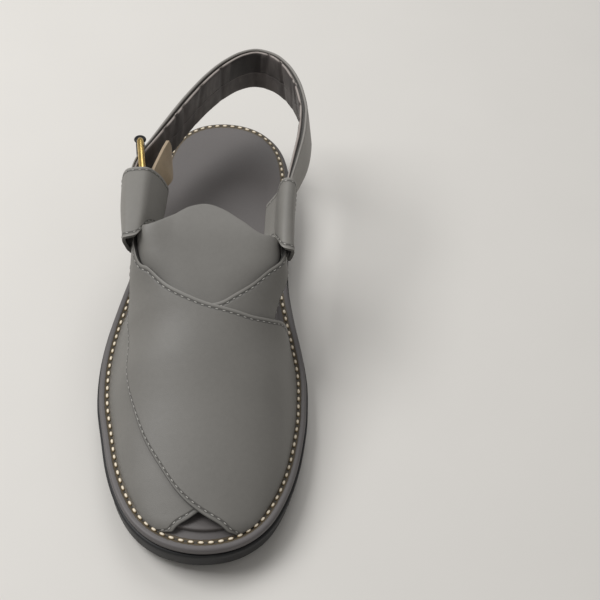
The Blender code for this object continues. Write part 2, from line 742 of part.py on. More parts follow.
def build_ankle_loop(name, side, front, width, table, rows, leather):
    """Sleeve at one ankle that takes the panel's tab in front and the strap behind."""
    across, rise, front_slant, rear_slant = closed_curve(table, LOOP_POINTS).T
    full = loop_height()
    rings = []
    for along in np.linspace(0, 1, LOOP_STEPS + 1):
        face = ankle_place(column(rows, 1, along))
        height = full * column(rows, 4, along)
        crest = LOOP_CREST - full * column(rows, 3, along)
        curl = LOOP_CURL * column(rows, 6, along) * (1 - rise) ** 2
        x = face - side * (across * width * column(rows, 2, along) + curl)
        back = LOOP_SLANT * (front_slant + (rear_slant - front_slant) * along)
        back = back + LOOP_SETBACK * column(rows, 5, along) * (1 - rise)
        y = to_y(front - LOOP_LENGTH * along) + back
        z = crest - height + rise * height
        rings.append(np.column_stack([x, y, z]))
    mesh = bmesh.new()
    join_rings(mesh, rings)
    sleeve = add_object(name, mesh, leather)
    middle = np.mean(rings[0], axis=0)
    first = sleeve.data.polygons[0]
    if (first.center[0] - middle[0]) * first.normal[0] + (first.center[2] - middle[2]) * first.normal[2] < 0:
        sleeve.data.flip_normals()
    modifier = sleeve.modifiers.new("wall", "SOLIDIFY")
    modifier.thickness = LOOP_WALL
    modifier.offset = -1.0
    modifier.use_even_offset = True


def build_strap_tail(suede):
    """Free end of the strap, flesh side out, cut square."""
    rows = np.array(TAIL_ROWS)
    stations = np.linspace(rows[0, 0], rows[-1, 0], TAIL_STEPS + 1)
    down = np.linspace(0, 1, 4)[:, None]
    top_x = ankle_place(column(TAIL_ROWS, 1, stations))
    low_x = ankle_place(column(TAIL_ROWS, 2, stations))
    top = strap_top_in_loops() - TAIL_HEIGHT * column(TAIL_ROWS, 3, stations)
    x = top_x + (low_x - top_x) * down
    z = top - TAIL_HEIGHT * column(TAIL_ROWS, 4, stations) * down
    y = np.broadcast_to(to_y(stations * STITCH_LENGTH), x.shape)
    mesh = bmesh.new()
    join_rings(mesh, np.stack([x, y, z], axis=-1), closed=False)
    tail = add_object("strap_tail", mesh, suede)
    modifier = tail.modifiers.new("wall", "SOLIDIFY")
    modifier.thickness = TAIL_THICKNESS
    modifier.offset = 0.0


def buckle_bar_x(y, radius, way):
    """x of a bar of the buckle at y that clears the strap; way is 1 inboard of it, -1 outboard."""
    middle, _, _, thickness, lean = strap_path(STRAP_STEPS)
    outer = middle[:len(middle) // 2]
    nearest = int(np.argmin(np.abs(outer[:, 1] - y)))
    along = outer[nearest + 1] - outer[nearest - 1]
    oblique = np.linalg.norm(along) / abs(along[1])
    x = float(np.interp(y, outer[:, 1], outer[:, 0]))
    clear = thickness[nearest] / 2 + SOFT_GAP + radius + (lean[nearest] if way < 0 else BUCKLE_SLACK)
    return x + way * clear * oblique


def build_buckle(brass, blackened):
    """Wire frame standing round the strap's end, with a roller on its rear bar."""
    top = strap_top_in_loops() + SOFT_GAP + WIRE_RADIUS
    bottom = strap_top_in_loops() - STRAP_END_HEIGHT - SOFT_GAP - WIRE_RADIUS
    front = to_y(BUCKLE_FRONT_STATION)
    rear = front + BUCKLE_LENGTH
    front_x = buckle_bar_x(front, WIRE_RADIUS, 1)
    rear_x = buckle_bar_x(rear, ROLLER_RADIUS, -1)
    corners = ((front, bottom, 180), (rear, bottom, 270), (rear, top, 0), (front, top, 90))
    path = []
    for y, z, start in corners:
        centre_y = y + BUCKLE_CORNER * (1 if y == front else -1)
        centre_z = z + BUCKLE_CORNER * (1 if z == bottom else -1)
        for turn in np.radians(start + np.linspace(0, 90, CORNER_STEPS + 1)):
            path_y = centre_y + BUCKLE_CORNER * math.cos(turn)
            path_x = front_x + (rear_x - front_x) * (path_y - front) / BUCKLE_LENGTH
            path.append((path_x, path_y, centre_z + BUCKLE_CORNER * math.sin(turn)))
    curve = bpy.data.curves.new("buckle_frame", "CURVE")
    curve.dimensions = "3D"
    spline = curve.splines.new("POLY")
    spline.points.add(len(path) - 1)
    for point, place in zip(spline.points, path):
        point.co = (*place, 1.0)
    spline.use_cyclic_u = True
    curve.bevel_depth = WIRE_RADIUS
    curve.bevel_resolution = 2
    curve.materials.append(brass)
    frame = bpy.data.objects.new("buckle_frame", curve)
    bpy.context.collection.objects.link(frame)
    build_roller(rear_x, rear, bottom + BUCKLE_CORNER, top - BUCKLE_CORNER, blackened)


def build_roller(x, y, low, high, blackened):
    """Tube turning on the buckle's rear bar."""
    bore = WIRE_RADIUS + LAYER_GAP
    profile = ((bore, low), (ROLLER_RADIUS, low), (ROLLER_RADIUS, high), (bore, high))
    turns = np.linspace(0, 2 * math.pi, ROLLER_SIDES, endpoint=False)
    mesh = bmesh.new()
    rings = [[(x + radius * math.cos(turn), y + radius * math.sin(turn), z) for turn in turns] for radius, z in profile]
    loops = join_rings(mesh, rings)
    for near in range(ROLLER_SIDES):
        far = (near + 1) % ROLLER_SIDES
        mesh.faces.new((loops[-1][near], loops[-1][far], loops[0][far], loops[0][near]))
    add_object("buckle_roller", mesh, blackened)


def main():
    """Builds every piece."""
    for old in list(bpy.data.objects):
        bpy.data.objects.remove(old)
    leather = material("grey_leather", (0.195, 0.185, 0.170), 0.55)
    footbed = material("footbed_leather", (0.095, 0.090, 0.088), 0.60)
    welt = material("welt_board", (0.090, 0.085, 0.088), 0.55)
    rubber = material("black_rubber", (0.012, 0.012, 0.013), 0.60)
    suede = material("tan_suede", (0.190, 0.130, 0.075), 0.90)
    brass = material("yellow_brass", (0.720, 0.480, 0.140), 0.25, 1.0)
    blackened = material("blackened_steel", (0.010, 0.010, 0.010), 0.35)
    build_outsole(rubber)
    build_heel_block(rubber)
    build_midsole(welt)
    build_insole(footbed)
    build_upper(leather)
    build_tongue(leather)
    build_ankle_loop("ankle_loop_outer", -1, OUTER_LOOP_FRONT, OUTER_LOOP_WIDTH, OUTER_LOOP_PROFILE,
                     OUTER_LOOP_ROWS, leather)
    build_ankle_loop("ankle_loop_inner", 1, INNER_LOOP_FRONT, INNER_LOOP_WIDTH, INNER_LOOP_PROFILE,
                     INNER_LOOP_ROWS, leather)
    build_heel_strap(leather)
    build_strap_tail(suede)
    build_buckle(brass, blackened)


main()
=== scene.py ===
"""Looks of a peshawari chappal for the right foot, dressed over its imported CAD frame.

Metres, +Z up, the toe towards -Y and the inner side of the foot towards +X. The origin is the
middle of the heel's tread. A station is a distance from the rearmost sole stitch towards the toe.
The leather pieces are laid out on the surface of a last: a turn of -1 is its outer edge, 0 its
crest and 1 its inner edge.
"""
from __future__ import annotations

import logging
import math
from dataclasses import dataclass
from enum import Enum
from functools import cache
from typing import Callable, Sequence

import bpy
import numpy as np
from mathutils import Matrix, Vector

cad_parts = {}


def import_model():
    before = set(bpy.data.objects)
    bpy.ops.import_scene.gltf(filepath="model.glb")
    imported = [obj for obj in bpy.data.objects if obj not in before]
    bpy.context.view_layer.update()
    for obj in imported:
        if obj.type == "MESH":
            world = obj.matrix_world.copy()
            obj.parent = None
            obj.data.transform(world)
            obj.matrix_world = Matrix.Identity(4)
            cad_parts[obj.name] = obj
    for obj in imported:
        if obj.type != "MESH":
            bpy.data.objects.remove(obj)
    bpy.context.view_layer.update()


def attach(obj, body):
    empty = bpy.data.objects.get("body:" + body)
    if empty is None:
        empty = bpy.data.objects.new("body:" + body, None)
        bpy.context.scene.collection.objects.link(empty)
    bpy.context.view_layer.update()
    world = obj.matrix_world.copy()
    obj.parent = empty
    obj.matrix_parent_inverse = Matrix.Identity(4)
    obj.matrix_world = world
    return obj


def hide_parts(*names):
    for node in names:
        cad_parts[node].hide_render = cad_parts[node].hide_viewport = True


Array = np.ndarray
Colour = tuple[float, float, float]
Table = Sequence[Sequence[float]]
Piece = bpy.types.Object
Material = bpy.types.Material
Socket = bpy.types.NodeSocket
LOG = logging.getLogger("chappal")

# Gaps between hard layers and round soft ones, a seam's distance from its edge, the steps that
# measure the outline, the sharpest edge in degrees that isn't rounded, and two edit-mode steps
LAYER_GAP = 0.0003
SOFT_GAP = 0.0005
SEAM_INSET = 0.0022
EXTENT_STEPS = 160
ROUND_FROM = 50.0
MERGE = ("remove_doubles", {"threshold": 1e-6})
OUTWARDS = ("normals_make_consistent", {"inside": False})

# Stitch line: station share, outer half width, inner half width, ball share
OUTLINE_ROWS: Table = (
    (0, 0.01, 0.01, 0), (0.018, -0.248, 0.267, 0), (0.054, -0.382, 0.4, 0), (0.107, -0.455, 0.477, 0),
    (0.161, -0.482, 0.502, 0), (0.214, -0.494, 0.508, 0), (0.286, -0.486, 0.474, 0.15),
    (0.357, -0.492, 0.444, 0.3), (0.429, -0.508, 0.424, 0.5), (0.5, -0.511, 0.427, 0.75),
    (0.571, -0.522, 0.453, 0.9), (0.643, -0.52, 0.474, 1), (0.714, -0.507, 0.479, 1), (0.786, -0.463, 0.462, 1),
    (0.857, -0.412, 0.424, 1), (0.911, -0.351, 0.372, 1), (0.946, -0.292, 0.32, 1), (0.982, -0.18, 0.212, 1),
    (1, 0.017, 0.017, 1),
)

# Height of the stitch line: station share, heel share, toe share, cover by the insole, tuck
RIM_ROWS: Table = (
    (0, 1, 0, 1, 0), (0.214, 0.92, 0, 1, 0), (0.304, 0.76, 0, 1, 0), (0.393, 0.52, 0, 0.8, 0),
    (0.5, 0.22, 0, 0.1, 0), (0.56, 0.1, 0, 0, 0), (0.607, 0.05, 0, 0, 0), (0.714, 0, 0, 0, 0),
    (0.857, 0, 0.34, 0, 0), (0.911, 0, 0.58, 0, 0.1), (0.956, 0, 0.79, 0, 0.6), (1, 0, 1, 0, 1),
    (1.04, 0, 1.2, 0, 1),
)

# Underside of the outsole: station share, share of the heel block, share of the toe spring
TREAD_ROWS: Table = (
    (-0.05, 1, 0), (0.25, 1, 0), (0.34, 0.86, 0), (0.42, 0.38, 0), (0.48, 0.06, 0), (0.515, 0, 0), (0.76, 0, 0),
    (0.83, 0, 0.14), (0.91, 0, 0.46), (1, 0, 1), (1.04, 0, 1.3),
)

# The last: station share, crest share, outer width, inner width, squareness
LAST_ROWS: Table = (
    (0.42, 1.015, 0.9, 0.98, 8.5), (0.446, 1, 0.89, 0.98, 8.5), (0.489, 0.969, 0.875, 0.98, 8.5),
    (0.529, 0.912, 0.84, 0.98, 6.4), (0.571, 0.846, 0.82, 0.92, 3.6), (0.623, 0.746, 0.85, 0.87, 2.4),
    (0.714, 0.58, 0.93, 0.92, 2.1), (0.786, 0.428, 0.97, 0.97, 2), (0.857, 0.289, 1, 1, 2),
    (0.911, 0.185, 1, 1, 2), (0.956, 0.094, 1, 1, 2), (0.982, 0.04, 1, 1, 2), (0.991, 0.008, 1, 1, 2),
)

# Panels: along, rear edge station share and turn, front edge station share and turn
UPPER_PANEL_ROWS: Table = (
    (0, 0.572, 1, 0.984, 1), (0.1, 0.587, 0.83, 0.984, 0.59), (0.2, 0.599, 0.66, 0.975, 0.24),
    (0.3, 0.618, 0.5, 0.959, -0.01), (0.4, 0.629, 0.3, 0.932, -0.2), (0.5, 0.625, 0.07, 0.887, -0.34),
    (0.6, 0.613, -0.11, 0.83, -0.47), (0.7, 0.592, -0.29, 0.755, -0.58), (0.8, 0.563, -0.42, 0.68, -0.62),
    (0.9, 0.54, -0.505, 0.6, -0.67), (0.96, 0.498, -0.55, 0.54, -0.62), (1, 0.462, -0.575, 0.47, -0.605),
)

LOWER_PANEL_ROWS: Table = (
    (0, 0.53, 1, 0.984, 1), (0.1, 0.565, 0.82, 0.986, 0.6), (0.2, 0.596, 0.6, 0.973, 0.22),
    (0.3, 0.616, 0.36, 0.957, 0.02), (0.4, 0.625, 0.12, 0.932, -0.2), (0.5, 0.618, -0.09, 0.885, -0.34),
    (0.6, 0.6, -0.22, 0.825, -0.46), (0.7, 0.577, -0.34, 0.745, -0.54), (0.8, 0.553, -0.42, 0.665, -0.57),
    (0.9, 0.524, -0.505, 0.59, -0.57), (0.96, 0.496, -0.555, 0.535, -0.59), (1, 0.468, -0.58, 0.478, -0.61),
)

TONGUE_ROWS: Table = (
    (0, 0.474, -0.585, 0.535, -0.6), (0.12, 0.487, -0.46, 0.585, -0.49), (0.26, 0.466, -0.33, 0.65, -0.3),
    (0.4, 0.444, -0.19, 0.678, -0.12), (0.5, 0.437, -0.04, 0.684, 0.02), (0.6, 0.446, 0.12, 0.678, 0.14),
    (0.72, 0.467, 0.27, 0.655, 0.28), (0.86, 0.491, 0.42, 0.595, 0.46), (1, 0.478, 0.585, 0.535, 0.59),
)

# Loops seen along the foot: across share from the outer face inwards, height share, and how far
# back the point stands in the front and in the rear mouth, as shares of the slant
OUTER_LOOP_PROFILE: Table = (
    (0.1, 0, 0.1, 0.04), (0, 0.1, 0, 0), (-0.01, 0.45, 0, 0), (0.01, 0.78, 0, 0.01), (0.08, 0.94, 0, 0.03),
    (0.2, 1, 0, 0.08), (0.47, 1, 0.18, 0.22), (0.62, 0.95, 0.6, 0.32), (0.74, 0.83, 1.15, 0.48),
    (0.86, 0.68, 1.42, 0.6), (0.97, 0.5, 1.5, 0.63), (1, 0.4, 1.5, 0.63), (0.95, 0.3, 1.4, 0.59),
    (0.74, 0.07, 0.9, 0.4), (0.42, 0, 0.42, 0.18),
)

INNER_LOOP_PROFILE: Table = (
    (0.1, 0, 0.1, 0.05), (0, 0.1, 0, 0), (-0.01, 0.45, 0, 0), (0.01, 0.78, 0, 0), (0.09, 0.94, 0, 0),
    (0.28, 1, 0, 0), (0.46, 0.98, 0.14, 0.02), (0.57, 0.88, 0.52, 0.1), (0.63, 0.72, 0.88, 0.2),
    (0.67, 0.58, 1.12, 0.25), (0.8, 0.46, 1.18, 0.25), (0.93, 0.34, 1.18, 0.25), (1, 0.26, 1.18, 0.28),
    (0.94, 0.2, 1, 0.25), (0.5, 0.02, 0.5, 0.1),
)

# Loops: along, outer face's place, width share, crest's drop, height, set-back and curl shares
OUTER_LOOP_ROWS: Table = (
    (0, -1.105, 0.67, 0.05, 0.66, 1, 0.9), (0.25, -1.14, 0.8, 0.02, 0.86, 0.45, 0.3),
    (0.6, -1.195, 0.95, 0, 1, 0.05, 0), (1, -1.23, 1.03, 0, 1, 0, 0),
)

INNER_LOOP_ROWS: Table = (
    (0, 1.085, 1, 0.13, 0.57, 1, 0.45), (0.25, 1.075, 1, 0.06, 0.79, 0.45, 0.2),
    (0.6, 1.078, 1.02, 0.01, 0.98, 0.05, 0), (1, 1.095, 1.04, 0, 1, 0, 0),
)

# Heel strap: across share between the ankles, station share, rise, body, lean of the lower edge
STRAP_ROWS: Table = (
    (-1.01, 0.421, 0, 0, 0), (-1.05, 0.371, 0, 0, 0), (-1.09, 0.332, 0, 0, 0), (-1.045, 0.292, -0.01, 0, 0),
    (-0.89, 0.249, 0.08, 0.3, 0.25), (-0.72, 0.209, 0.27, 0.9, 0.7), (-0.402, 0.133, 0.6, 1, 0.75),
    (-0.182, 0.087, 0.76, 1, 0.8), (0.045, 0.051, 0.88, 1, 0.9), (0.245, 0.031, 0.97, 1, 1),
    (0.463, 0.021, 1, 1, 1.1), (0.687, 0.031, 1, 1, 1.2), (0.863, 0.053, 0.94, 1, 1.35),
    (1.005, 0.087, 0.85, 1, 1.5), (1.098, 0.129, 0.76, 1, 1.55), (1.145, 0.171, 0.64, 1, 1.5),
    (1.124, 0.23, 0.5, 0.9, 1.2), (1.056, 0.284, 0.3, 0.6, 0.6), (0.984, 0.339, 0.08, 0, 0),
    (0.97, 0.421, 0.02, 0, 0),
)

# Free end: station share, across of top and bottom edge, drop and height shares
TAIL_ROWS: Table = (
    (0.243, -0.69, -0.665, 0, 0.42), (0.262, -0.735, -0.64, 0.02, 0.68), (0.285, -0.78, -0.62, 0.05, 0.86),
    (0.325, -0.85, -0.745, 0.09, 0.8), (0.357, -0.89, -0.8, 0.1, 0.7),
)


def cubic(knots: Sequence[float], values: Sequence[float], at: Array | float) -> Array:
    """Reads a smooth curve through values at rising knots.

    Args:
        knots: Rising places.
        values: The curve's value at each.
        at: Where to read it; past either end it goes on level.

    Returns:
        The curve's values.
    """
    known, height = np.asarray(knots, float), np.asarray(values, float)
    place = np.clip(np.asarray(at, float), known[0], known[-1])
    steps = np.diff(known)
    chords = np.diff(height) / steps
    slopes = np.concatenate([chords[:1], chords[:-1], chords[-1:]])
    slopes[1:-1] = (chords[:-1] * steps[1:] + chords[1:] * steps[:-1]) / (steps[:-1] + steps[1:])
    slopes[np.concatenate([[False], chords[:-1] * chords[1:] <= 0, [False]])] = 0.0
    left = np.clip(np.searchsorted(known, place, side="right") - 1, 0, len(steps) - 1)
    share = (place - known[left]) / steps[left]
    rise = height[left + 1] - height[left]
    bend_in = slopes[left] * steps[left] - rise
    bend_out = rise - slopes[left + 1] * steps[left]
    return height[left] + rise * share + share * (1 - share) * ((1 - share) * bend_in + share * bend_out)


def column(rows: Table, index: int, at: Array | float) -> Array:
    """Reads one column of a table whose first column rises."""
    return cubic([row[0] for row in rows], [row[index] for row in rows], at)


def ease(low: float, high: float, at: Array) -> Array:
    """Goes smoothly from 0 at low to 1 at high."""
    share = np.clip((np.asarray(at, float) - low) / (high - low), 0, 1)
    return share * share * (3 - 2 * share)


def unit(vectors: Array) -> Array:
    """Vectors made one long."""
    return vectors / np.maximum(np.linalg.norm(vectors, axis=-1, keepdims=True), 1e-12)


def arc(points: Array, axis: int = 0) -> Array:
    """Distance along rows or columns of points, starting from 0.

    Args:
        points: The points, by row or by row and column.
        axis: The axis that the distance runs along.

    Returns:
        The distances.
    """
    steps = np.linalg.norm(np.diff(points, axis=axis), axis=-1)
    start = np.zeros_like(np.take(steps, [0], axis=axis))
    return np.cumsum(np.concatenate([start, steps], axis=axis), axis=axis)


def read_at(reach: Array, points: Array, at: Array | float) -> Array:
    """Points of a line at distances along it."""
    return np.stack([np.interp(at, reach, points[:, k]) for k in range(3)], axis=-1)


def grid_normals(places: Array, core: Array | None = None) -> Array:
    """Normals of a grid of points, away from a core or upwards.

    Args:
        places: Points by row and column.
        core: A point inside, or None for an open sheet.

    Returns:
        A normal for each point.
    """
    normals = unit(np.cross(np.gradient(places, axis=1), np.gradient(places, axis=0)))
    outward = normals[..., 2].sum() if core is None else ((places - core) * normals).sum()
    return -normals if outward < 0 else normals


def ringed(points: Array) -> Array:
    """A ring with its first point again at its end."""
    return np.vstack([points, points[:1]])


def halves(ring: Array) -> tuple[Array, Array]:
    """Outer and inner side of a ring, both from heel to toe."""
    half = len(ring) // 2
    return ring[:half + 1], np.vstack([ring[:1], ring[:half - 1:-1]])


def span_ring(ring: Array, count: int) -> Array:
    """Grid of points from a ring's outer side over to its inner one."""
    outer, inner = halves(ring)
    return outer[:, None] + (inner - outer)[:, None] * np.linspace(0, 1, count)[None, :, None]


def closed_curve(points: Table, count: int) -> Array:
    """Smooth closed curve through a few points.

    Args:
        points: The points it passes.
        count: How many points to give back.

    Returns:
        The curve's points, the first one given again first.
    """
    known = np.asarray(points, float)
    total = len(known)
    places = np.arange(count) * total / count
    left = places.astype(int)
    share = (places - left)[:, None]
    before, start, end, after = (known[(left + step) % total] for step in (-1, 0, 1, 2))
    return 0.5 * (2 * start + (end - before) * share
                  + (2 * before - 5 * start + 4 * end - after) * share ** 2
                  + (3 * start - before - 3 * end + after) * share ** 3)


def dim(colour: Colour, share: float) -> Colour:
    """A darker or lighter shade of a colour."""
    return tuple(min(value * share, 1.0) for value in colour)


@dataclass(frozen=True)
class SoleForm:
    """Outline and heights that every layer of the sole shares."""

    length: float = 0.280
    ball_width: float = 0.0995
    heel_width: float = 0.0705
    rest_station: float = 0.035
    heel_rim: float = 0.0288
    ball_rim: float = 0.0163
    toe_rim: float = 0.0215
    toe_spring: float = 0.0058
    heel_block: float = 0.0100
    welt_margin: float = 0.0043
    insole_margin: float = 0.0020
    insole_inset: float = 0.0028
    insole_tuck: float = 0.0006
    welt_thickness: float = 0.0040
    insole_thickness: float = 0.0022
    steps: int = 150

    def to_y(self, station: Array | float) -> Array | float:
        """World y of a station, or station of a world y."""
        return self.rest_station - station

    def side(self, index: int, steps: int) -> Array:
        """Points of the stitch line along one side, heel to toe.

        Args:
            index: The table's column.
            steps: Steps along the side.

        Returns:
            The points (x, y).
        """
        sweep = np.linspace(0.0, 1.0, steps + 1)
        knots = [math.acos(1 - 2 * row[0]) / math.pi for row in OUTLINE_ROWS]
        local = [self.heel_width + (self.ball_width - self.heel_width) * row[3] for row in OUTLINE_ROWS]
        x = cubic(knots, [row[index] * width for row, width in zip(OUTLINE_ROWS, local)], sweep)
        return np.column_stack([x, self.to_y(self.length * (1 - np.cos(math.pi * sweep)) / 2)])

    def loop(self, offset: float | Array, steps: int | None = None) -> Array:
        """Closed outline (x, y), heel, outer side, toe, inner side, moved out from the stitches.

        Args:
            offset: One distance, or one for each point.
            steps: Steps along a side.

        Returns:
            The points.
        """
        outer, inner = (self.side(index, steps or self.steps) for index in (1, 2))
        points = np.vstack([outer, inner[-2:0:-1]])
        along = unit(np.roll(points, -1, axis=0) - np.roll(points, 1, axis=0))
        return points + np.column_stack([along[:, 1], -along[:, 0]]) * np.reshape(offset, (-1, 1))

    def loop_stations(self, steps: int | None = None) -> Array:
        """Stations of the outline's points."""
        return self.to_y(self.loop(0.0, steps)[:, 1])

    def ring(self, offset: float | Array, height: Array | float) -> Array:
        """Outline with its heights."""
        points = self.loop(offset)
        return np.column_stack([points, np.broadcast_to(height, len(points))])

    def extent(self, station: Array, offset: float | Callable[[Array], Array]) -> tuple[Array, Array]:
        """Outermost and innermost x of the outline at a station.

        Args:
            station: Where to measure.
            offset: A distance from the stitches, or a rule for it.

        Returns:
            Both x.
        """
        if callable(offset):
            offset = offset(self.loop_stations(EXTENT_STEPS))
        outer, inner = (np.interp(station, self.to_y(half[:, 1]), half[:, 0])
                        for half in halves(self.loop(offset, EXTENT_STEPS)))
        return outer, inner

    def cover(self, station: Array) -> Array:
        """How far the insole runs out over the welt, from 0 to 1."""
        return column(RIM_ROWS, 3, station / self.length)

    def rim(self, station: Array) -> Array:
        """Height of the stitch line over the floor.

        Args:
            station: Where to measure.

        Returns:
            The height.
        """
        share = station / self.length
        heel = column(RIM_ROWS, 1, share) * (self.heel_rim - self.ball_rim)
        return self.ball_rim + heel + column(RIM_ROWS, 2, share) * (self.toe_rim - self.ball_rim)

    def welt_top(self, station: Array) -> Array:
        """Height of the welt's top."""
        return self.rim(station) - self.cover(station) * (self.insole_thickness + LAYER_GAP)

    def sole_top(self, station: Array) -> Array:
        """Height of the outsole's top."""
        return self.welt_top(station) - self.welt_thickness - LAYER_GAP

    def tread(self, station: Array) -> Array:
        """Height of the outsole's underside."""
        share = station / self.length
        return column(TREAD_ROWS, 1, share) * self.heel_block + column(TREAD_ROWS, 2, share) * self.toe_spring

    def insole_edge(self, station: Array) -> Array:
        """Offset of the insole's edge from the stitches.

        Args:
            station: Where to measure.

        Returns:
            The offset.
        """
        inside = -(self.insole_inset + 4 * SOFT_GAP)
        tuck = self.insole_tuck * column(RIM_ROWS, 4, station / self.length)
        return inside + (self.insole_margin - inside) * self.cover(station) - tuck


@dataclass(frozen=True)
class Last:
    """The foot's form that the leather is laid over."""

    sole: SoleForm
    instep: float = 0.0650
    inset: float = 0.0028
    toe_reach: float = 0.0015
    toe_from: float = 0.93
    toe_to: float = 0.98
    flare: float = 5.0
    tab_turn: float = 0.62
    outer_lift: float = 0.0036
    inner_lift: float = 0.0018
    ankle_station: float = 0.1400

    def edge(self, station: Array) -> Array:
        """Offset of the last's foot from the stitches, nearer to them at the toe."""
        return self.toe_reach * ease(self.toe_from, self.toe_to, station / self.sole.length) - self.inset

    def surface(self, stations: Array, turns: Array, lifts: Array) -> Array:
        """Points on the last, or a lift outside it.

        Args:
            stations: Distances from the heel.
            turns: Places round the last, -1 to 1.
            lifts: Distances outside it.

        Returns:
            The points, in an array of one more axis.
        """
        share = stations / self.sole.length
        low_x, high_x = self.sole.extent(stations, self.edge)
        drawn = np.where(turns < 0, column(LAST_ROWS, 2, share), column(LAST_ROWS, 3, share))
        width = drawn + (1 - drawn) * np.abs(turns) ** self.flare
        reach = (high_x - low_x) / 2 * width + lifts
        crest = column(LAST_ROWS, 1, share) * self.instep + lifts
        square = column(LAST_ROWS, 4, share)
        sides, tops = np.sin(turns * math.pi / 2), np.cos(turns * math.pi / 2)
        radius = (np.abs(sides) ** square + np.abs(tops) ** square) ** (-1 / square)
        foot = self.sole.welt_top(stations) + LAYER_GAP
        return np.stack([(low_x + high_x) / 2 + reach * radius * sides, self.sole.to_y(stations),
                         foot + crest * radius * tops], axis=-1)

    def ankle(self, across: Array | float) -> Array | float:
        """x of a place between the ankles.

        Args:
            across: The place, from -1 at the outer ankle to 1 at the inner one.

        Returns:
            Its x.
        """
        outer, inner = (float(self.surface(*(np.array([value]) for value in (self.ankle_station, turn, lift)))[0, 0])
                        for turn, lift in ((-self.tab_turn, self.outer_lift), (self.tab_turn, self.inner_lift)))
        return (outer + inner) / 2 + across * (inner - outer) / 2


# ---------------------------------------------------------------------------------------------
# Shader maths


@dataclass(frozen=True)
class Signal:
    """A number that changes over a surface, with arithmetic that adds Math nodes."""

    bench: "Bench"
    socket: Socket

    def _math(self, operation: str, *terms: "Signal | float") -> "Signal":
        """Adds one Math node whose inputs are terms."""
        node = self.bench.node("ShaderNodeMath", {"operation": operation}, dict(enumerate(terms)))
        return Signal(self.bench, node.outputs[0])

    def __add__(self, other: "Signal | float") -> "Signal":
        """Sum."""
        return self._math("ADD", self, other)

    __radd__ = __add__

    def __sub__(self, other: "Signal | float") -> "Signal":
        """Difference."""
        return self._math("SUBTRACT", self, other)

    def __rsub__(self, other: float) -> "Signal":
        """Difference from a number."""
        return self._math("SUBTRACT", other, self)

    def __mul__(self, other: "Signal | float") -> "Signal":
        """Product."""
        return self._math("MULTIPLY", self, other)

    __rmul__ = __mul__

    def __abs__(self) -> "Signal":
        """Size without the sign."""
        return self._math("ABSOLUTE", self)

    def sine(self) -> "Signal":
        """Sine of an angle in radians."""
        return self._math("SINE", self)

    def fade(self, low: float, high: float) -> "Signal":
        """Goes smoothly from 0 at low to 1 at high.

        Args:
            low: Value that gives 0.
            high: Value that gives 1.

        Returns:
            The new signal.
        """
        node = self.bench.node("ShaderNodeMapRange", {"interpolation_type": "SMOOTHSTEP"},
                               {"Value": self, "From Min": low, "From Max": high})
        return Signal(self.bench, node.outputs["Result"])

    def band(self, middle: float, half: float) -> "Signal":
        """1 at middle, falling smoothly to 0 at half on either side."""
        return 1.0 - abs(self - middle).fade(0.0, half)

    def between(self, low: float, high: float, soft: float) -> "Signal":
        """1 from low to high, with soft ends."""
        return self.fade(low - soft, low + soft) * (1.0 - self.fade(high - soft, high + soft))


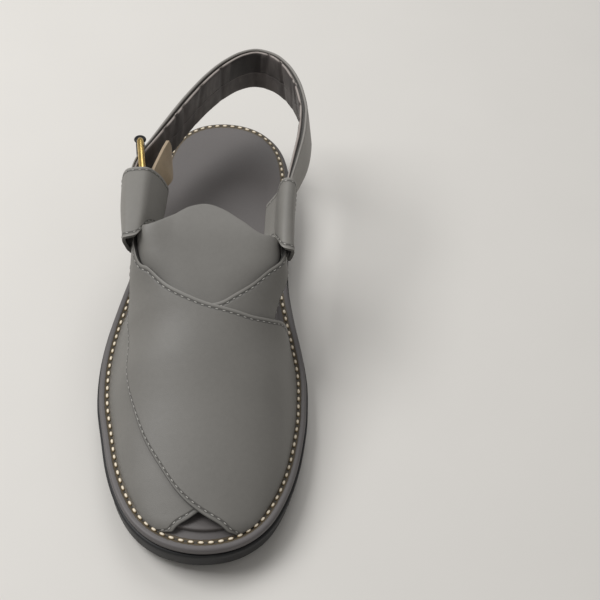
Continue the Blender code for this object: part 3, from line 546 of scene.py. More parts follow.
class Bench:
    """A material's node tree while it is built."""

    def __init__(self, name: str) -> None:
        """Starts an empty material.

        Args:
            name: The material's name.
        """
        self.material = bpy.data.materials.new(name)
        self.material.use_nodes = True
        self.tree = self.material.node_tree
        self.tree.nodes.clear()

    def node(self, kind: str, settings: dict[str, object] | None = None,
             sockets: dict[str | int, object] | None = None) -> bpy.types.Node:
        """Adds a node.

        Args:
            kind: Blender's node type.
            settings: Properties, set before the sockets.
            sockets: Values or links by socket name or number.

        Returns:
            The node.
        """
        made = self.tree.nodes.new(kind)
        for key, value in (settings or {}).items():
            setattr(made, key, value)
        for key, value in (sockets or {}).items():
            value = value.socket if isinstance(value, Signal) else value
            if isinstance(value, Socket):
                self.tree.links.new(value, made.inputs[key])
            else:
                made.inputs[key].default_value = value
        return made

    def place(self) -> Socket:
        """Object coordinates."""
        return self.node("ShaderNodeTexCoord").outputs["Object"]

    def axis(self, vector: Socket, name: str) -> Signal:
        """One component of a vector."""
        return Signal(self, self.node("ShaderNodeSeparateXYZ", None, {"Vector": vector}).outputs[name])

    def chart(self, name: str) -> tuple[Signal, Signal]:
        """Both numbers of a UV map."""
        vector = self.node("ShaderNodeUVMap", {"uv_map": name}).outputs["UV"]
        return self.axis(vector, "X"), self.axis(vector, "Y")

    def tone(self, name: str) -> Signal:
        """A number that the mesh holds for each point."""
        return Signal(self, self.node("ShaderNodeAttribute", {"attribute_name": name}).outputs["Fac"])

    def noise(self, size: float, detail: float = 3.0, stretch: Colour = (1, 1, 1)) -> Signal:
        """Cloudy noise from 0 to 1.

        Args:
            size: A patch's width in metres.
            detail: Octaves of finer noise.
            stretch: Shares of the scale along each axis.

        Returns:
            The noise.
        """
        scaled = self.node("ShaderNodeMapping", None,
                           {"Vector": self.place(), "Scale": tuple(share / size for share in stretch)})
        made = self.node("ShaderNodeTexNoise", None,
                         {"Vector": scaled.outputs["Vector"], "Scale": 1.0, "Detail": detail})
        return Signal(self, made.outputs["Fac"])

    def cells(self, size: float) -> Signal:
        """Distance to the nearest border of irregular cells, in shares of their size.

        Args:
            size: A cell's width in metres.

        Returns:
            The distance.
        """
        made = self.node("ShaderNodeTexVoronoi", {"feature": "DISTANCE_TO_EDGE"},
                         {"Vector": self.place(), "Scale": 1.0 / size})
        return Signal(self, made.outputs["Distance"])

    def blend(self, share: Signal | float, first: Colour | Socket, second: Colour | Socket) -> Socket:
        """Colour between two, by a share from 0 to 1."""
        rgba = [(*value, 1.0) if isinstance(value, tuple) else value for value in (first, second)]
        return self.node("ShaderNodeMix", {"data_type": "RGBA"}, {0: share, 6: rgba[0], 7: rgba[1]}).outputs[2]

    def mottle(self, share: Signal, colour: Colour, low: float, high: float) -> Socket:
        """A colour that changes between two of its shades."""
        return self.blend(share, dim(colour, low), dim(colour, high))

    def relief(self, height: Signal, depth: float, under: Socket | None = None) -> Socket:
        """Bumps of a depth in metres, over another relief if there is one."""
        sockets = {"Height": height, "Distance": depth, "Strength": 1.0, **({"Normal": under} if under else {})}
        return self.node("ShaderNodeBump", None, sockets).outputs["Normal"]

    def surface(self, colour: Socket, roughness: Signal | float, normal: Socket | None = None,
                **plain: float) -> Material:
        """Ends the material in one principled shader.

        Args:
            colour: Base colour.
            roughness: Roughness.
            normal: Relief.
            **plain: Other sockets, underscores for spaces, each one number.

        Returns:
            The material.
        """
        sockets = {"Base Color": colour, "Roughness": roughness, **({"Normal": normal} if normal else {}),
                   **{key.replace("_", " "): value for key, value in plain.items()}}
        shader = self.node("ShaderNodeBsdfPrincipled", None, sockets)
        self.node("ShaderNodeOutputMaterial", None, {"Surface": shader.outputs["BSDF"]})
        return self.material


# ---------------------------------------------------------------------------------------------
# Finishes


@dataclass(frozen=True)
class Hide:
    """Dyed leather with a fine grain and, on request, sunk seams with painted shade in them, painted highlights and
    painted shadow lines along the edges, and painted shade in a groove.
    """

    name: str
    colour: Colour
    roughness: float = 0.50
    seam_charts: tuple[str, ...] = ()
    shadow_line_charts: tuple[str, ...] = ()
    groove: tuple[float, float] | None = None
    pore: float = 0.0007
    depth: float = 0.000022

    def make(self) -> Material:
        """Builds the material.

        Returns:
            The material.
        """
        bench = Bench(self.name)
        clouds, flecks = bench.noise(0.030, 3.0), bench.noise(0.0022, 2.0)
        colour = bench.mottle(clouds * 0.65 + flecks * 0.35, self.colour, 0.86, 1.13)
        normal = bench.relief(bench.cells(self.pore).fade(0.0, 0.22), self.depth)
        normal = bench.relief(bench.noise(0.0035, 3.0), self.depth * 3.0, normal)
        for chart in self.seam_charts:
            _, reach = bench.chart(chart)
            sunk = reach.band(SEAM_INSET, 0.0010)
            normal = bench.relief(1.0 - sunk, 0.00030, normal)
            # Painted shade: the sunk seam line is darkened where shade falls in it.
            colour = bench.blend(sunk * 0.70, colour, dim(self.colour, 0.30))
            # Painted light along each seamed edge: a painted shadow line on the edges listed for it, a painted
            # highlight on the rounded edge of the others.
            half, strength, shade = (0.0008, 0.90, 0.12) if chart in self.shadow_line_charts else (0.0013, 0.45, 1.7)
            colour = bench.blend(reach.band(0.0, half) * strength, colour, dim(self.colour, shade))
        if self.groove is not None:
            _, reach = bench.chart("Strap")
            low, high = self.groove
            # Painted shade: the groove along the strap's face is darkened where shade falls in it.
            shade = reach.fade(low - 0.0002, low + 0.0003) * (1.0 - reach.fade(high, high + 0.0004))
            colour = bench.blend(shade * 0.65, colour, dim(self.colour, 0.16))
        return bench.surface(colour, self.roughness - 0.06 + clouds * 0.12, normal, Specular_IOR_Level=0.42)


@dataclass(frozen=True)
class StrapLining:
    """Creased lining with a light turned edge, painted shade in the hollows of its creases, a lengthwise seam with a
    painted highlight beside it and a darker patch over the heel.
    """

    name: str
    colour: Colour
    light: Colour
    edge: float = 0.0013
    seam: float = 0.0170
    patch: tuple[float, float] = (0.452, 0.532)

    def make(self) -> Material:
        """Builds the material.

        Returns:
            The material.
        """
        bench = Bench(self.name)
        share, reach = bench.chart("Strap")
        folds = bench.noise(0.0060, 4.0, (1.0, 1.0, 0.35))
        # Painted shade and highlight: the colour follows the creases' relief, darker in their hollows and lighter on
        # their crests.
        colour = bench.mottle(folds.fade(0.36, 0.64), self.colour, 0.66, 1.12)
        above = 1.0 - reach.fade(self.seam - 0.0004, self.seam + 0.0004)
        colour = bench.blend(share.between(*self.patch, 0.003) * above * 0.85, colour, dim(self.colour, 0.24))
        line = reach.band(self.seam, 0.0006)
        colour = bench.blend(line * 0.75, colour, dim(self.colour, 0.25))
        # Painted highlight: a pale strip along the seam's lower edge.
        colour = bench.blend(reach.band(self.seam + 0.0009, 0.0006) * 0.35, colour, dim(self.colour, 1.9))
        turned = reach.fade(0.0002, 0.0005) * (1.0 - reach.fade(self.edge + 0.0006, self.edge + 0.0011))
        colour = bench.blend(turned * (0.70 + folds * 0.30), colour, self.light)
        normal = bench.relief(bench.noise(0.0009, 3.0), 0.00004)
        normal = bench.relief(folds, 0.00050, normal)
        normal = bench.relief(1.0 - line, 0.00050, normal)
        return bench.surface(colour, 0.50 + folds * 0.10, normal, Specular_IOR_Level=0.42)


@dataclass(frozen=True)
class CutEdge:
    """The fibrous rim of cut leather."""

    name: str
    colour: Colour

    def make(self) -> Material:
        """Builds the material.

        Returns:
            The material.
        """
        bench = Bench(self.name)
        fibres = bench.noise(0.0009, 4.0)
        return bench.surface(bench.mottle(fibres, self.colour, 0.7, 1.0), 0.72, bench.relief(fibres, 0.00008))


@dataclass(frozen=True)
class Suede:
    """Napped flesh side."""

    name: str
    colour: Colour

    def make(self) -> Material:
        """Builds the material.

        Returns:
            The material.
        """
        bench = Bench(self.name)
        nap = bench.noise(0.0006, 4.0)
        colour = bench.mottle(bench.noise(0.0065, 3.0) * 0.6 + nap * 0.4, self.colour, 0.62, 1.35)
        return bench.surface(colour, 0.93, bench.relief(nap, 0.00014), Sheen_Weight=0.25)


@dataclass(frozen=True)
class SewnBoard:
    """Board or leather with a brown channel under the sole stitches, darkened along its middle as painted shade."""

    name: str
    colour: Colour
    roughness: float
    stain_and_shade: Colour = (0.115, 0.090, 0.055)
    band: float = 0.0016

    def make(self) -> Material:
        """Builds the material.

        Returns:
            The material.
        """
        bench = Bench(self.name)
        _, reach = bench.chart("Seam")
        clouds, fibre = bench.noise(0.018, 3.0), bench.noise(0.0012, 3.0)
        base = bench.mottle(clouds * 0.7 + fibre * 0.3, self.colour, 0.84, 1.16)
        ragged = reach + (fibre - 0.5) * 0.0008
        in_channel = 1.0 - abs(ragged).fade(self.band * 0.72, self.band)
        # The channel is coloured brown, and darkest along the stitch line as painted shade in the sunk channel.
        stain_and_shade = bench.blend(ragged.band(0.0, self.band * 0.75), self.stain_and_shade, dim(self.stain_and_shade, 0.22))
        normal = bench.relief(1.0 - in_channel, 0.00016, bench.relief(fibre, 0.00003))
        return bench.surface(bench.blend(in_channel, base, stain_and_shade), self.roughness + (clouds - 0.5) * 0.10, normal,
                             Specular_IOR_Level=0.45)


@dataclass(frozen=True)
class Rubber:
    """Moulded rubber, dusty on its faces, with a fine tread pattern underneath."""

    name: str
    colour: Colour
    dust: Colour = (0.060, 0.058, 0.056)
    rib_length: float = 0.0046
    rib_slant: float = 0.0074

    def make(self) -> Material:
        """Builds the material.

        Returns:
            The material.
        """
        bench = Bench(self.name)
        x, y = (bench.axis(bench.place(), name) for name in "XY")
        facing = bench.axis(bench.node("ShaderNodeNewGeometry").outputs["Normal"], "Z")
        dust = bench.noise(0.010, 5.0).fade(0.50, 0.80)
        colour = bench.blend(dust * 0.5, self.colour, self.dust)
        waves = (y * (2 * math.pi / self.rib_length) + abs(x) * (2 * math.pi / self.rib_slant)).sine()
        ribs = waves.fade(-0.2, 0.2) * (-1.0 * facing).fade(0.75, 0.95)
        colour = bench.blend(ribs * 0.35, colour, self.dust)
        normal = bench.relief(ribs, 0.00060, bench.relief(bench.noise(0.0009, 3.0), 0.00006))
        return bench.surface(colour, 0.52 + dust * 0.18, normal, Specular_IOR_Level=0.40)


@dataclass(frozen=True)
class Metal:
    """Plated wire, faintly rubbed."""

    name: str
    colour: Colour
    roughness: float
    metallic: float = 1.0

    def make(self) -> Material:
        """Builds the material.

        Returns:
            The material.
        """
        bench = Bench(self.name)
        rubbed = bench.noise(0.0045, 4.0)
        colour = bench.mottle(rubbed.fade(0.35, 0.7), self.colour, 0.80, 1.0)
        normal = bench.relief(bench.noise(0.0007, 2.0), 0.000012)
        return bench.surface(colour, self.roughness - 0.06 + rubbed * 0.12, normal, Metallic=self.metallic)


@dataclass(frozen=True)
class Thread:
    """Waxed thread, pale on its crown and darker towards its root as painted shade where it dives into its holes."""

    name: str
    crown: Colour
    root: Colour
    roughness: float = 0.55

    def make(self) -> Material:
        """Builds the material.

        Returns:
            The material.
        """
        bench = Bench(self.name)
        height = bench.tone("crown") + (bench.noise(0.0060, 2.0) - 0.5) * 0.5
        # Painted shade: the thread darkens towards its root where it dives into its holes.
        colour = bench.blend(height.fade(0.15, 0.80), self.root, self.crown)
        return bench.surface(colour, self.roughness, bench.relief(bench.noise(0.0007, 3.0, (1.0, 0.35, 1.0)), 0.0001))


@dataclass(frozen=True)
class PaleFloor:
    """Plain pale floor with the faintest mottling."""

    name: str = "pale_floor"
    colour: Colour = (0.720, 0.700, 0.665)

    def make(self) -> Material:
        """Builds the material.

        Returns:
            The material.
        """
        bench = Bench(self.name)
        return bench.surface(bench.mottle(bench.noise(0.070, 4.0), self.colour, 0.975, 1.02), 0.62)


class Coat(Enum):
    """The finishes of the shoe."""

    PANEL = Hide("grey_leather_sewn", (0.187, 0.180, 0.166), seam_charts=("Rear", "Front"), shadow_line_charts=("Front",))
    # Painted light: the sleeves' leather is the panels' leather painted lighter, for the light that falls on them.
    SLEEVE = Hide("grey_leather_sleeve_painted_lit", (0.207, 0.199, 0.183), seam_charts=("Rear", "Front"))
    # Painted light: the strap's face is the panels' leather painted lighter, for the light that falls on it; its
    # groove gets painted shade.
    FACE = Hide("grey_leather_strap_painted_lit", (0.250, 0.237, 0.218), groove=(0.0026, 0.0052))
    PLAIN = Hide("grey_leather", (0.187, 0.180, 0.166))
    LINING = StrapLining("strap_lining", (0.132, 0.117, 0.111), (0.390, 0.345, 0.318))
    INSIDE = Hide("inner_lining", (0.080, 0.075, 0.070), 0.62)
    # Dark edge dye on the panels' cut rims, darkened further as a painted shadow line along the panel edges.
    EDGE = CutEdge("cut_edge", (0.042, 0.040, 0.037))
    RIM = CutEdge("sleeve_edge", (0.150, 0.145, 0.133))
    FOOTBED = SewnBoard("footbed_leather", (0.122, 0.112, 0.109), 0.46)
    WELT = SewnBoard("welt_board", (0.122, 0.113, 0.112), 0.48)
    RUBBER = Rubber("black_rubber", (0.014, 0.014, 0.015))
    TAIL = Suede("tan_suede", (0.420, 0.320, 0.205))
    TAIL_EDGE = CutEdge("tan_cut_edge", (0.420, 0.330, 0.230))
    BRASS = Metal("yellow_brass", (0.830, 0.590, 0.210), 0.24)
    BLACK = Metal("blackened_steel", (0.020, 0.020, 0.020), 0.35, 0.6)
    SOLE_THREAD = Thread("sole_thread", (0.900, 0.800, 0.640), (0.330, 0.240, 0.120))
    FINE_THREAD = Thread("fine_thread", (0.420, 0.408, 0.380), (0.060, 0.057, 0.052), 0.6)

    @cache
    def material(self) -> Material:
        """The finish's material, made once."""
        return self.value.make()


# ---------------------------------------------------------------------------------------------
# Workbench


def rest_selection() -> None:
    """Goes to object mode with nothing selected."""
    if bpy.context.object is not None and bpy.context.object.mode != "OBJECT":
        bpy.ops.object.mode_set(mode="OBJECT")
    bpy.ops.object.select_all(action="DESELECT")


def pick(piece: Piece) -> None:
    """Makes one piece the selected and active one.

    Args:
        piece: The piece.
    """
    rest_selection()
    piece.select_set(True)
    bpy.context.view_layer.objects.active = piece


def primitive(kind: str, name: str, **settings: object) -> Piece:
    """Adds one of Blender's mesh primitives under a name.

    Args:
        kind: The primitive, as its operator calls it.
        name: Name of the piece and its mesh.
        **settings: The operator's settings.

    Returns:
        The piece.
    """
    rest_selection()
    getattr(bpy.ops.mesh, f"primitive_{kind}_add")(**settings)
    piece = bpy.context.object
    piece.name = piece.data.name = name
    return piece


def edit_all(piece: Piece, *steps: tuple[str, dict[str, object]]) -> None:
    """Runs edit-mode operators on a whole mesh.

    Args:
        piece: The piece.
        *steps: Operator names of bpy.ops.mesh, each with its settings.
    """
    pick(piece)
    bpy.ops.object.mode_set(mode="EDIT")
    bpy.ops.mesh.select_all(action="SELECT")
    for name, settings in steps:
        getattr(bpy.ops.mesh, name)(**settings)
    bpy.ops.object.mode_set(mode="OBJECT")


def lay_grid(name: str, places: Array, charts: dict[str, Array] | None = None, closed: bool = False) -> Piece:
    """Adds a grid primitive and lays its points out.

    Args:
        name: The piece's name.
        places: Points by row and column.
        charts: UV maps, two distances for each point.
        closed: Whether the first and last column or row meet and are merged.

    Returns:
        The piece.
    """
    rows, columns = places.shape[:2]
    piece = primitive("grid", name, x_subdivisions=columns - 1, y_subdivisions=rows - 1, size=2.0)
    mesh = piece.data
    flat = np.empty(len(mesh.vertices) * 3)
    mesh.vertices.foreach_get("co", flat)
    at = np.rint((flat.reshape(-1, 3)[:, :2] + 1) / 2 * (columns - 1, rows - 1)).astype(int)
    mesh.vertices.foreach_set("co", places[at[:, 1], at[:, 0]].ravel())
    corners = np.empty(len(mesh.loops), int)
    mesh.loops.foreach_get("vertex_index", corners)
    for chart, values in (charts or {}).items():
        layer = mesh.uv_layers.new(name=chart)
        layer.data.foreach_set("uv", values[at[corners, 1], at[corners, 0]].ravel())
    if charts:
        mesh.uv_layers.remove(mesh.uv_layers["UVMap"])
    mesh.update()
    if closed:
        edit_all(piece, MERGE)
    return piece


def edge_charts(along: Array, rear: Array, front: Array) -> dict[str, Array]:
    """UV maps of the distance along a sheet and from each of its edges."""
    return {"Rear": np.stack([along, rear], axis=-1), "Front": np.stack([along, front], axis=-1)}


def face_away(piece: Piece, core: Sequence[float]) -> None:
    """Turns an open sheet's faces away from a point inside it.

    Args:
        piece: The sheet.
        core: The point.
    """
    inner = Vector(core)
    if sum((face.center - inner).dot(face.normal) * face.area for face in piece.data.polygons) < 0:
        edit_all(piece, ("flip_normals", {}))


def merge(parts: Sequence[Piece]) -> Piece:
    """Joins pieces into the first.

    Args:
        parts: The pieces.

    Returns:
        The first piece.
    """
    pick(parts[0])
    for part in parts[1:]:
        part.select_set(True)
    bpy.ops.object.join()
    return bpy.context.object


def close_up(piece: Piece) -> Piece:
    """Merges seams and turns a closed shell's faces outwards."""
    edit_all(piece, MERGE, OUTWARDS)
    return piece


def add_wall(piece: Piece, thickness: float, offset: float = -1.0, inner: int = 1, rim: int = 2) -> None:
    """Gives a sheet its wall.

    Args:
        piece: The sheet.
        thickness: The wall's thickness.
        offset: -1 for a wall inwards, 0 for one to both sides.
        inner: Number of the inner faces' material.
        rim: Number of the rim's material.
    """
    modifier = piece.modifiers.new("wall", "SOLIDIFY")
    modifier.thickness = thickness
    modifier.offset = offset
    modifier.use_even_offset = True
    modifier.material_offset = inner
    modifier.material_offset_rim = rim


def add_round(piece: Piece, width: float, segments: int = 3) -> None:
    """Rounds a piece's sharp edges.

    Args:
        piece: The piece.
        width: Width of the rounding.
        segments: Faces across it.
    """
    modifier = piece.modifiers.new("round", "BEVEL")
    modifier.width = width
    modifier.segments = segments
    modifier.limit_method = "ANGLE"
    modifier.angle_limit = math.radians(ROUND_FROM)


def cut_with(piece: Piece, cutter: Piece) -> None:
    """Takes a cutter's shape out of a piece and removes the cutter.

    Args:
        piece: The piece.
        cutter: The cutter.
    """
    modifier = piece.modifiers.new("cut", "BOOLEAN")
    modifier.operation = "DIFFERENCE"
    modifier.object = cutter
    pick(piece)
    bpy.ops.object.modifier_apply(modifier=modifier.name)
    bpy.data.objects.remove(cutter)


def dress(piece: Piece, coats: Sequence[Coat], stands_for: Sequence[str] = (),
          angle: float = 42.0) -> None:
    """Finishes a piece: materials, applied modifiers, shading and its place in the frame.

    Args:
        piece: The piece.
        coats: Its finishes, in the order of its faces' material numbers.
        stands_for: CAD nodes that it replaces.
        angle: Edges sharper than this stay sharp.
    """
    piece.data.materials.clear()
    for coat in coats:
        piece.data.materials.append(coat.material())
    pick(piece)
    for modifier in list(piece.modifiers):
        bpy.ops.object.modifier_apply(modifier=modifier.name)
    bpy.ops.object.shade_smooth_by_angle(angle=math.radians(angle))
    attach(piece, "root")
    if stands_for:
        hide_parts(*stands_for)
    LOG.info("%s: %d faces", piece.name, len(piece.data.polygons))


@dataclass(frozen=True)
class Stitch:
    """One stitch: a bead that is modelled once and copied along a seam."""

    length: float
    width: float
    height: float
    pitch: float
    segments: int
    rings: int
    fullness: float = 0.85

    def model(self) -> tuple[Array, list[tuple[int, ...]]]:
        """Models the bead along X.

        Returns:
            Its points and its faces.
        """
        bead = primitive("uv_sphere", "bead", segments=self.segments, ring_count=self.rings, radius=0.5)
        points = np.array([tuple(vert.co) for vert in bead.data.vertices])[:, [2, 0, 1]]
        faces = [tuple(face.vertices) for face in bead.data.polygons]
        bpy.data.objects.remove(bead)
        full = np.sign(points) * np.abs(points * 2) ** np.array([self.fullness, 1.0, 1.0]) / 2
        return full * (self.length, self.width, self.height * 2), faces

    def sew(self, name: str, line: Array, up: Array) -> Piece:
        """Copies the bead along a line.

        Args:
            name: The seam's name.
            line: Points of the seam.
            up: The surface's normals there.

        Returns:
            The seam as one piece.
        """
        reach = arc(line)
        count = max(int(round(reach[-1] / self.pitch)), 1)
        at = (np.arange(count) + 0.5) * reach[-1] / count
        behind, middle, ahead = (read_at(reach, line, at + shift * self.pitch) for shift in (-0.25, 0.0, 0.25))
        along = unit(ahead - behind)
        side = unit(np.cross(unit(read_at(reach, up, at)), along))
        normal = np.cross(along, side)
        points, faces = self.model()
        spots = (middle[:, None] + points[None, :, :1] * along[:, None] + points[None, :, 1:2] * side[:, None]
                 + points[None, :, 2:] * normal[:, None]).reshape(-1, 3)
        every = [tuple(corner + number * len(points) for corner in face)
                 for number in range(count) for face in faces]
        mesh = bpy.data.meshes.new(name)
        mesh.from_pydata(spots.tolist(), [], every)
        crown = np.clip(points[:, 2] / self.height, 0, 1) * (1 - np.abs(points[:, 0] / self.length * 2) ** 3)
        mesh.attributes.new("crown", "FLOAT", "POINT").data.foreach_set("value", np.tile(crown, count))
        piece = bpy.data.objects.new(name, mesh)
        bpy.context.scene.collection.objects.link(piece)
        return piece


SOLE_STITCH = Stitch(0.0030, 0.0015, 0.00070, 0.0047, 10, 8)
FINE_STITCH = Stitch(0.00225, 0.00062, 0.00026, 0.00365, 8, 6)


def sew_leather(name: str, line: Array, up: Array) -> None:
    """Sews a fine seam along a line, with the surface's normals there."""
    dress(FINE_STITCH.sew(name, line, up), [Coat.FINE_THREAD])


# ---------------------------------------------------------------------------------------------
# Sole


@dataclass
class Outsole:
    """Black rubber outsole and heel block, with edge lugs."""

    sole: SoleForm
    lip: float = 0.0054
    rib: float = 0.0009
    lip_height: float = 0.0030
    chamfer: float = 0.0016
    block_inset: float = 0.0012
    block_length: float = 0.0760
    breast_lean: float = 0.0040
    groove_depth: float = 0.0025
    groove_width: float = 0.0032
    groove_excess: float = 0.002
    lug_pitch: float = 0.0115
    lug_reach: float = 0.0220
    front_lugs: tuple[float, float] = (0.525, 0.93)
    cap_columns: int = 28

    def shell(self, name: str, section: Sequence[tuple[float, Array | float]]) -> Piece:
        """Closed solid round the sole.

        Args:
            name: The solid's name.
            section: Offset and height of each ring, from the lowest to the highest.

        Returns:
            The solid.
        """
        rings = [self.sole.ring(*row) for row in section]
        wall = lay_grid(name, np.stack([ringed(ring) for ring in rings]), closed=True)
        caps = [lay_grid(f"{name}_cap", span_ring(rings[end], self.cap_columns)) for end in (0, -1)]
        return close_up(merge([wall, *caps]))

    def grooves(self, first: float, last: float, low: bool) -> Piece:
        """Cutters between the edge lugs.

        Args:
            first: Station of the first groove.
            last: Station that the last one doesn't pass.
            low: Whether they cut the heel block's tread or the outsole's.

        Returns:
            All cutters as one object.
        """
        cutters, past = [], self.groove_excess
        for station in first + self.lug_pitch * np.arange(int((last - first) / self.lug_pitch) + 1):
            base = 0.0 if low else float(self.sole.tread(station))
            for edge, way in zip(self.sole.extent(station, self.lip), (1, -1)):
                middle = float(edge) + way * (self.lug_reach - past) / 2
                cutters.append(primitive(
                    "cube", "groove", size=1.0,
                    location=(middle, self.sole.to_y(station), base + self.groove_depth / 2 - past),
                    scale=(self.lug_reach + past, self.groove_width, self.groove_depth + 2 * past)))
        return merge(cutters)

    def build(self) -> None:
        """Builds the outsole and its heel block."""
        sole, lip, chamfer = self.sole, self.lip, self.chamfer
        stations = sole.loop_stations()
        tread, top = sole.tread(stations), sole.sole_top(stations)
        wall, under = lip - self.rib, top - self.lip_height
        outsole = self.shell("outsole_rubber", [
            (wall - chamfer, tread), (wall - chamfer * 0.4, tread + chamfer * 0.25), (wall, tread + chamfer),
            (wall, under - 0.0004), (wall - 0.0005, under - 0.0001), (wall + 0.0003, under + 0.0003),
            (lip, under + 0.0009), (lip, top - 0.0009), (lip - 0.0003, top - 0.0003), (lip - 0.0009, top)])
        cut_with(outsole, self.grooves(*(share * sole.length for share in self.front_lugs), False))
        dress(outsole, [Coat.RUBBER], ["outsole"])
        wall, high = wall - self.block_inset, sole.heel_block
        block = self.shell("heel_block_rubber", [
            (wall - chamfer, 0.0), (wall - chamfer * 0.4, chamfer * 0.25), (wall, chamfer),
            (wall, high - 0.0012), (wall - 0.0006, high - 0.0008), (wall - 0.0006, high - LAYER_GAP)])
        edit_all(block, ("bisect", {
            "plane_co": (0.0, sole.to_y(self.block_length), 0.0), "plane_no": (0.0, -1.0, -self.breast_lean / high),
            "use_fill": True, "clear_outer": True}))
        cut_with(block, self.grooves(self.lug_pitch, self.block_length - self.lug_pitch, True))
        dress(block, [Coat.RUBBER], ["heel_block"])


@dataclass
class WeltedBoard:
    """Welt with its stitch channel, the footbed and the sole stitches."""

    sole: SoleForm
    round_edge: float = 0.0012
    board_inset: float = 0.0100
    dish: float = 0.0006
    dish_margin: float = 0.0110
    cap_columns: int = 40
    seamless: float = -0.02
    stitch_sink: float = 0.00005

    def build(self) -> None:
        """Builds the welt, the footbed and the stitches."""
        self.build_welt()
        self.build_footbed()
        stations = self.sole.loop_stations()
        step = ease(-0.0004, 0.0006, self.sole.insole_edge(stations))
        lift = (self.sole.insole_thickness + LAYER_GAP) * step
        line = self.sole.ring(0.0, self.sole.welt_top(stations) + lift - self.stitch_sink)
        up = np.tile([0.0, 0.0, 1.0], (len(line) + 1, 1))
        dress(SOLE_STITCH.sew("sole_stitches", ringed(line), up), [Coat.SOLE_THREAD])

    def run_round(self, name: str, section: Sequence[tuple[float | Array, Array]]) -> tuple[Piece, list[Array]]:
        """Runs a section round the sole, with a chart of the distance from the stitches.

        Args:
            name: The piece's name.
            section: Offset and height of each ring.

        Returns:
            The piece and its rings.
        """
        rings = [self.sole.ring(*row) for row in section]
        charts = [np.column_stack([np.linspace(0, 1, len(rings[0]) + 1),
                                   np.resize(offset, len(rings[0]) + 1)]) for offset, _ in section]
        places = np.stack([ringed(ring) for ring in rings])
        return lay_grid(name, places, {"Seam": np.stack(charts)}, closed=True), rings

    def build_welt(self) -> None:
        """Builds the welt as a board with a rounded edge."""
        stations = self.sole.loop_stations()
        low, top = self.sole.sole_top(stations) + LAYER_GAP, self.sole.welt_top(stations)
        edge, inside = self.sole.welt_margin, -self.board_inset
        section = [(inside, low, 0.0), (edge - 0.0008, low, 0.0), (edge - 0.0002, low, 0.0003),
                   (edge, low, 0.0010), (edge, top, -self.round_edge), (edge - 0.00012, top, -0.0007),
                   (edge - 0.0005, top, -0.00028), (edge - 0.0010, top, -0.00006), (edge - 0.0016, top, 0.0),
                   (0.0012, top, 0.0), (0.0009, top, -0.00022), (0.0, top, -0.00034), (-0.0009, top, -0.00022),
                   (-0.0012, top, 0.0), (inside, top, 0.0), (inside, low, 0.0)]
        welt, _ = self.run_round("welt", [(offset, base + shift) for offset, base, shift in section])
        dress(close_up(welt), [Coat.WELT], ["midsole"])

    def build_footbed(self) -> None:
        """Builds the footbed: a board with a soft rim, dished inside it."""
        stations = self.sole.loop_stations()
        edge = self.sole.insole_edge(stations)
        base = self.sole.welt_top(stations) + LAYER_GAP
        top = base + self.sole.insole_thickness
        rim, rings = self.run_round("footbed", [
            (edge, base), (edge, top - 0.0006), (edge - 0.00015, top - 0.00022), (edge - 0.0005, top),
            (edge - 0.0016, top), (edge - 0.0030, top),
            (edge - self.dish_margin * 0.6, top - self.dish * 0.35), (edge - self.dish_margin, top - self.dish)])
        caps = []
        for end in (0, -1):
            places = span_ring(rings[end], self.cap_columns)
            caps.append(lay_grid("footbed_cap", places, {"Seam": np.full((*places.shape[:2], 2), self.seamless)}))
        dress(close_up(merge([rim, *caps])), [Coat.FOOTBED], ["insole"])


# ---------------------------------------------------------------------------------------------
# Upper


class Side(Enum):
    """A side of the foot, by the sign of its x."""

    INNER = 1
    OUTER = -1


